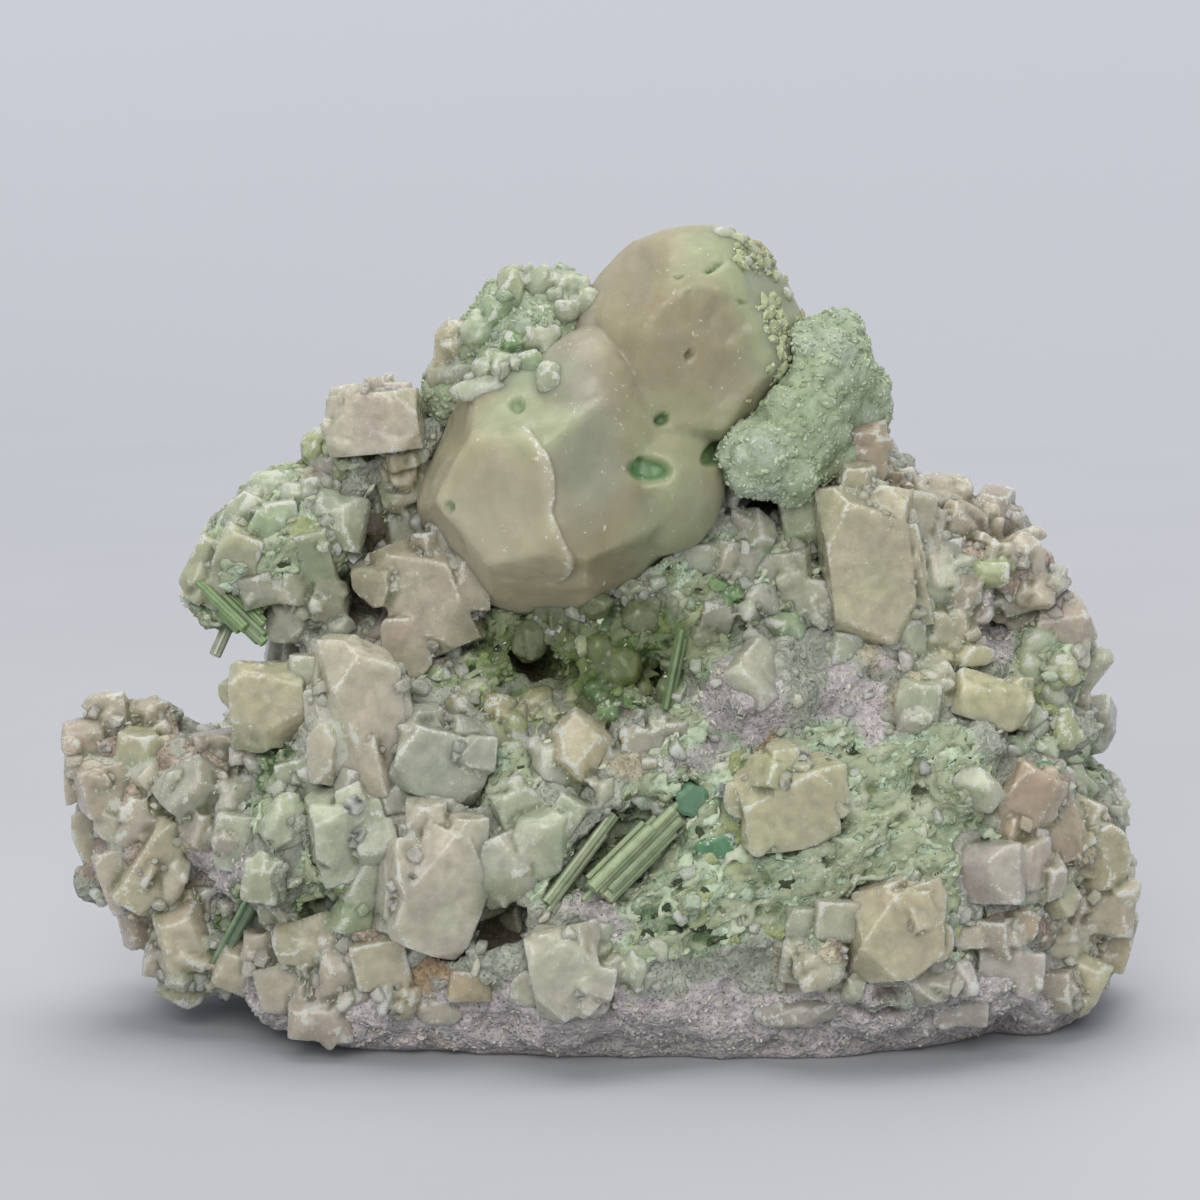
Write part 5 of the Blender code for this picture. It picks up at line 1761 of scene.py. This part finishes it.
# %% Choosing places
def choose(weights, number, spacing, seed):
    """Picks points of the rock by weight, no closer to each other than the spacing."""
    chance = np.random.default_rng(seed)
    tries = number * (6 if spacing else 1)
    picked = chance.choice(len(rock_points), tries, replace=False, p=weights / weights.sum())
    if not spacing:
        return picked
    kept = []
    kept_points = np.empty((number, 3))
    for candidate in picked:
        place = rock_points[candidate]
        if not kept or np.linalg.norm(kept_points[: len(kept)] - place, axis=1).min() > spacing:
            kept_points[len(kept)] = place
            kept.append(candidate)
            if len(kept) == number:
                break
    return np.array(kept)


CRYSTAL_COLOURS = {
    "mint": (196, 208, 188),
    "apple": (178, 192, 144),
    "pine": (138, 164, 116),
    "lilac": (206, 200, 198),
    "rose": (205, 194, 184),
    "cream": (207, 199, 176),
    "grey": (198, 197, 185),
    "white": (216, 213, 203),
    "rust": (198, 178, 152),
    # shade is painted shade for the cavities
    "shade": (120, 108, 92),
}


def crystal_tints(picked, seed, spread):
    """The mineral's colour at each picked point, a little different for each copy, with the painted shade of
    the recesses when the spread is wide.
    """
    chance = np.random.default_rng(seed)
    colours = rock_shares[picked] @ palette(CRYSTAL_COLOURS)
    lighter = chance.normal(0.0, spread, (len(picked), 1)) + chance.normal(0.0, 0.02, (len(picked), 3))
    return colours * (1.0 + lighter) * (recess_shade(rock_points[picked]) if spread > 0.1 else 1.0)


def grow(crop, kinds, picked, widths, slender, sunk, seed, tilt=0.45, ways=None, spread=0.06):
    """Grows crystals out of the rock: widths in mm, lengths as shares of the width."""
    chance = np.random.default_rng(seed)
    ways = rock_ways[picked] + chance.normal(0.0, tilt, (len(picked), 3)) if ways is None else ways
    width = widths[0] + (widths[1] - widths[0]) * chance.random(len(picked)) ** 1.8
    length = width * chance.uniform(*slender, len(picked))
    turns = turned(ways, chance.uniform(0.0, 2 * math.pi, len(picked)))
    share = chance.uniform(*sunk, len(picked))
    share += 0.3 * (1.0 - rise(np.abs(rock_ways[picked] @ np.array(SIGHT)), 0.15, 0.5)) * (width > 2.0)
    places = rock_points[picked] + rock_ways[picked] * (length * (0.5 - share))[:, None]
    sizes = np.stack((width / 2, width / 2 * chance.uniform(0.45, 1.0, len(picked)), length / 2), axis=1)
    tints = crystal_tints(picked, seed + 1, spread)
    sort = chance.integers(0, len(kinds), len(picked))
    for number, kind in enumerate(kinds):
        chosen = sort == number
        crop.add(kind, places[chosen], turns[chosen], sizes[chosen], tints[chosen])


# %% Middle sized crystals between the placed ones, and all of those behind
above_foot = rise(rock_points[:, 2], 1.0, 5.0) * (1.0 - np.minimum(1.0, 2.0 * share_of("shade")))
behind = rise(rock_points[:, 1], 2.0, 12.0)
crystal_ground = (feldspar + 0.12 * share_of("lilac") + 0.05 * granular) * above_foot
gathered = 0.12 + rise(clouds(rock_points, 9.0, 89), -0.25, 0.3)
picked = choose(crystal_ground * (0.12 + behind) * gathered, 170, 3.6, 80)
crowds["back"] = Crop()
for name, crop in crowds.items():
    at_back = rock_points[picked, 1] > 6.0
    across = rock_points[picked, 0]
    chosen = at_back if name == "back" else ~at_back & np.array([crowd_at(x) is crop for x in across])
    grow(crop, ("block", "wedge", "wedge", "point"), picked[chosen], (4.0, 7.5), (0.9, 1.5), (0.5, 0.7), 80)
picked = choose(crystal_ground * (0.5 + 0.5 * behind) * gathered, 860, 1.4, 81)
for name, crop in crowds.items():
    at_back = rock_points[picked, 1] > 6.0
    across = rock_points[picked, 0]
    chosen = at_back if name == "back" else ~at_back & np.array([crowd_at(x) is crop for x in across])
    grow(crop, ("block", "wedge", "wedge", "point"), picked[chosen], (1.8, 3.6), (0.9, 1.6), (0.4, 0.65), 81)
for name, crop in crowds.items():
    crowd = crop.join("crystals_" + name)
    fuse(crowd, 0.6 if name == "back" else 0.47, 0.2, cloudy_crystal, smoothing=1, lumps=0.05, filling=0.12)
    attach(crowd, "root")

# %% [markdown]
# ## The mint crust
#
# The crust of fine mica is a layer of its own on the rock, so it is made like one: the faces of the
# rock where mint or green mica rules are kept, given a thickness, and remeshed with a finer grain
# than the rock has. Its relief is a crowd of leafy granules that climb to the right in streaks, with
# small pits between them that are painted nearly black as shade, and its low parts get painted shade
# too. Behind the stone, granules alone stand for it.

# %% Cutting the crust from the rock
CRUST_THICKNESS = 1.3
CRUST_GRAIN_FINE = 0.43
crust = bpy.data.objects.new("mint_crust", rock.data.copy())
bpy.context.scene.collection.objects.link(crust)
crust.data.materials.clear()
for name in ("ground", "pits"):
    crust.data.attributes.remove(crust.data.attributes[name])
covered = (granular > 0.34) & (rock_points[:, 1] < 6.0) & (rock_points[:, 2] > 1.0)
covered &= share_of("shade") < 0.2
in_edit_mode(crust)
bpy.ops.mesh.select_all(action="DESELECT")
in_object_mode()
for polygon in crust.data.polygons:
    polygon.select = not covered[list(polygon.vertices)].all()
bpy.ops.object.mode_set(mode="EDIT")
bpy.ops.mesh.select_mode(type="FACE")
bpy.ops.mesh.delete(type="FACE")
bpy.ops.mesh.select_mode(type="VERT")
in_object_mode()
apply_modifier(crust, "SOLIDIFY", thickness=CRUST_THICKNESS * MM, offset=-0.5)
apply_modifier(crust, "REMESH", mode="VOXEL", voxel_size=CRUST_GRAIN_FINE * MM)
apply_modifier(crust, "SMOOTH", factor=0.5, iterations=4)
print("crust triangles:", count(crust))

# %% Its granules, streaks and pits
points, ways = points_of(crust), normals_of(crust)
climb = math.radians(28.0)
along = points[:, 0] * math.cos(climb) + points[:, 2] * math.sin(climb)
beside = points[:, 2] * math.cos(climb) - points[:, 0] * math.sin(climb)
streaked = np.stack((along * 0.5, points[:, 1], beside), axis=1)
height = 0.45 * clouds(streaked, 1.5, 100) + 0.75 * domes(streaked, 1.9, 1.0, 101)
height += 0.3 * domes(streaked, 1.0, 1.0, 102) - 0.5
shaded_pits = rise(clouds(streaked, 1.1, 103) + 0.5 * clouds(points, 4.5, 104), 0.3, 0.5)
shaded_pits = np.maximum(shaded_pits, 0.7 * rise(clouds(streaked, 0.8, 108), 0.45, 0.7))
height -= 1.1 * shaded_pits
move_points(crust, keep_in_box(points + ways * height[:, None]))
apply_modifier(crust, "SMOOTH", factor=0.4, iterations=1)
move_points(crust, keep_in_box(points_of(crust)))
yellowish = rise(clouds(points, 5.0, 105), 0.3, 0.7)[:, None]
chalky = rise(clouds(points, 2.6, 106), 0.0, 0.6)[:, None]
tint = np.tile(card_colour(170, 180, 155), (len(points), 1))
tint += (np.array(card_colour(166, 174, 128)) - tint) * yellowish
tint += (np.array(card_colour(196, 202, 184)) - tint) * 0.75 * chalky
# Low parts are painted darker green and the pits nearly black: painted shade
low = rise(-height, 0.0, 0.8)[:, None]
tint += (np.array(card_colour(118, 138, 100)) - tint) * 0.85 * low
tint += (np.array(card_colour(52, 62, 42)) - tint) * shaded_pits[:, None] * 0.85
frost_ridges(crust, tint, 0.2, 0.15, 0.5)
select_only(crust)
bpy.ops.object.shade_smooth()
crust.data.materials.append(etched_crystal)
STREAK = (0.86, 0.0, 0.5)
sow_grit(crust, 5500, (0.3, 0.95), 107, STREAK)
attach(crust, "root")

# %% Granules on the crust's rim and behind the stone
granule_ground = (granular * (1.0 - pits) * (0.25 + behind) + 0.03 * feldspar) * above_foot
picked = choose(granule_ground, 3000, 0, 83)
chance = np.random.default_rng(83)
streak = np.array(STREAK) + chance.normal(0.0, 0.3, (len(picked), 3))
lying = streak - rock_ways[picked] * np.einsum("ij,ij->i", streak, rock_ways[picked])[:, None] * 0.8
granules = Crop()
grow(granules, ("nub",), picked, (0.7, 1.6), (1.0, 2.0), (0.42, 0.62), 83, ways=lying)
granules = granules.join("mint_granules")
fuse(granules, 0.54, 0.14, etched_crystal, smoothing=1, filling=0.0, frosting=0.25)
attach(granules, "root")

# %% [markdown]
# ## Scales and the smallest crystals
#
# Scales of lilac mica and the smallest crystals stay sharp: they are what glitters.

# %% Scales and the smallest crystals
small = Crop()
gap_ground = (feldspar + 0.2 * share_of("lilac") + 0.05 * granular) * above_foot
grow(small, ("wedge", "point"), choose(gap_ground, 900, 0, 82), (0.7, 1.6), (0.8, 1.8), (0.45, 0.65), 82)
gap_places, tints = np.concatenate(gap_points), np.concatenate(gap_tints)
chance = np.random.default_rng(87)
nests = (gap_places[:, 2] > 1.5) & (clouds(gap_places, 4.0, 88) > -0.1)
picked = chance.choice(np.flatnonzero(nests), 2200, replace=False)
towards_eye = chance.normal(0.0, 1.0, (len(picked), 3)) - 0.8 * np.array(SIGHT)
turns = turned(towards_eye, chance.uniform(0.0, 6.3, len(picked)))
sizes = (0.3 + 0.8 * chance.random((len(picked), 1)) ** 2) * chance.uniform(0.6, 1.2, (len(picked), 3))
shades = tints[picked] * (1.08 + chance.normal(0.0, 0.08, (len(picked), 1)))
small.add("wedge", gap_places[picked], turns, sizes, shades)
small_crystals = small.join("small_crystals")
small_crystals.data.materials.append(cloudy_crystal)
scales = Crop()
scale_ground = (share_of("lilac") + 0.02) * rise(rock_points[:, 2], 0.4, 1.5)
places = choose(scale_ground, 5200, 0, 84)
grow(scales, ("flake",), places, (0.5, 1.1), (0.9, 1.1), (0.5, 0.7), 84, 0.8, spread=0.14)
lilac_scales = scales.join("lilac_scales")
lilac_scales.data.materials.append(etched_crystal)

# %% [markdown]
# ## Crumbs of frosting
#
# White and greenish crumbs lie in nests in the gaps between the crystals. Each is a small flat flake,
# and chance picks its colour from a short list. The grains that were sown on the crusts before are
# joined here too, in one piece.

# %% Crumbs in the gaps
CRUMB_COLOURS = ((224, 225, 212), (208, 212, 194), (184, 196, 166), (196, 192, 178), (146, 150, 122))
CRUMB_SHARES = (0.45, 0.25, 0.12, 0.1, 0.08)
chance = np.random.default_rng(85)
gap_places = gap_places[(gap_places[:, 2] > 1.5) & (clouds(gap_places, 3.4, 86) > 0.3)]
picked = chance.choice(len(gap_places), min(2400, len(gap_places)), replace=False)
crumb = Crop()
turns = turned(chance.normal(0.0, 1.0, (len(picked), 3)), chance.uniform(0.0, 6.3, len(picked)))
sizes = (0.22 + 0.5 * chance.random((len(picked), 1)) ** 2) * chance.uniform(0.5, 1.2, (len(picked), 3))
sizes *= (1, 1, 0.4)
colours = np.array([card_colour(*colour) for colour in CRUMB_COLOURS])
crumb_tints = colours[chance.choice(len(colours), len(picked), p=CRUMB_SHARES)]
crumb.add("flake", gap_places[picked], turns, sizes, crumb_tints)
crumbs = crumb.join("crumbs")
crumbs.data.materials.append(etched_crystal)
mint_grit = grit.join("mint_grit")
mint_grit.data.materials.append(etched_crystal)
for piece, slot in (
    (small_crystals, "quartz"), (lilac_scales, "matrix"), (crumbs, "quartz"), (mint_grit, "green_mica"),
):
    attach(piece, "root")
    print(piece.name, "triangles:", count(piece))
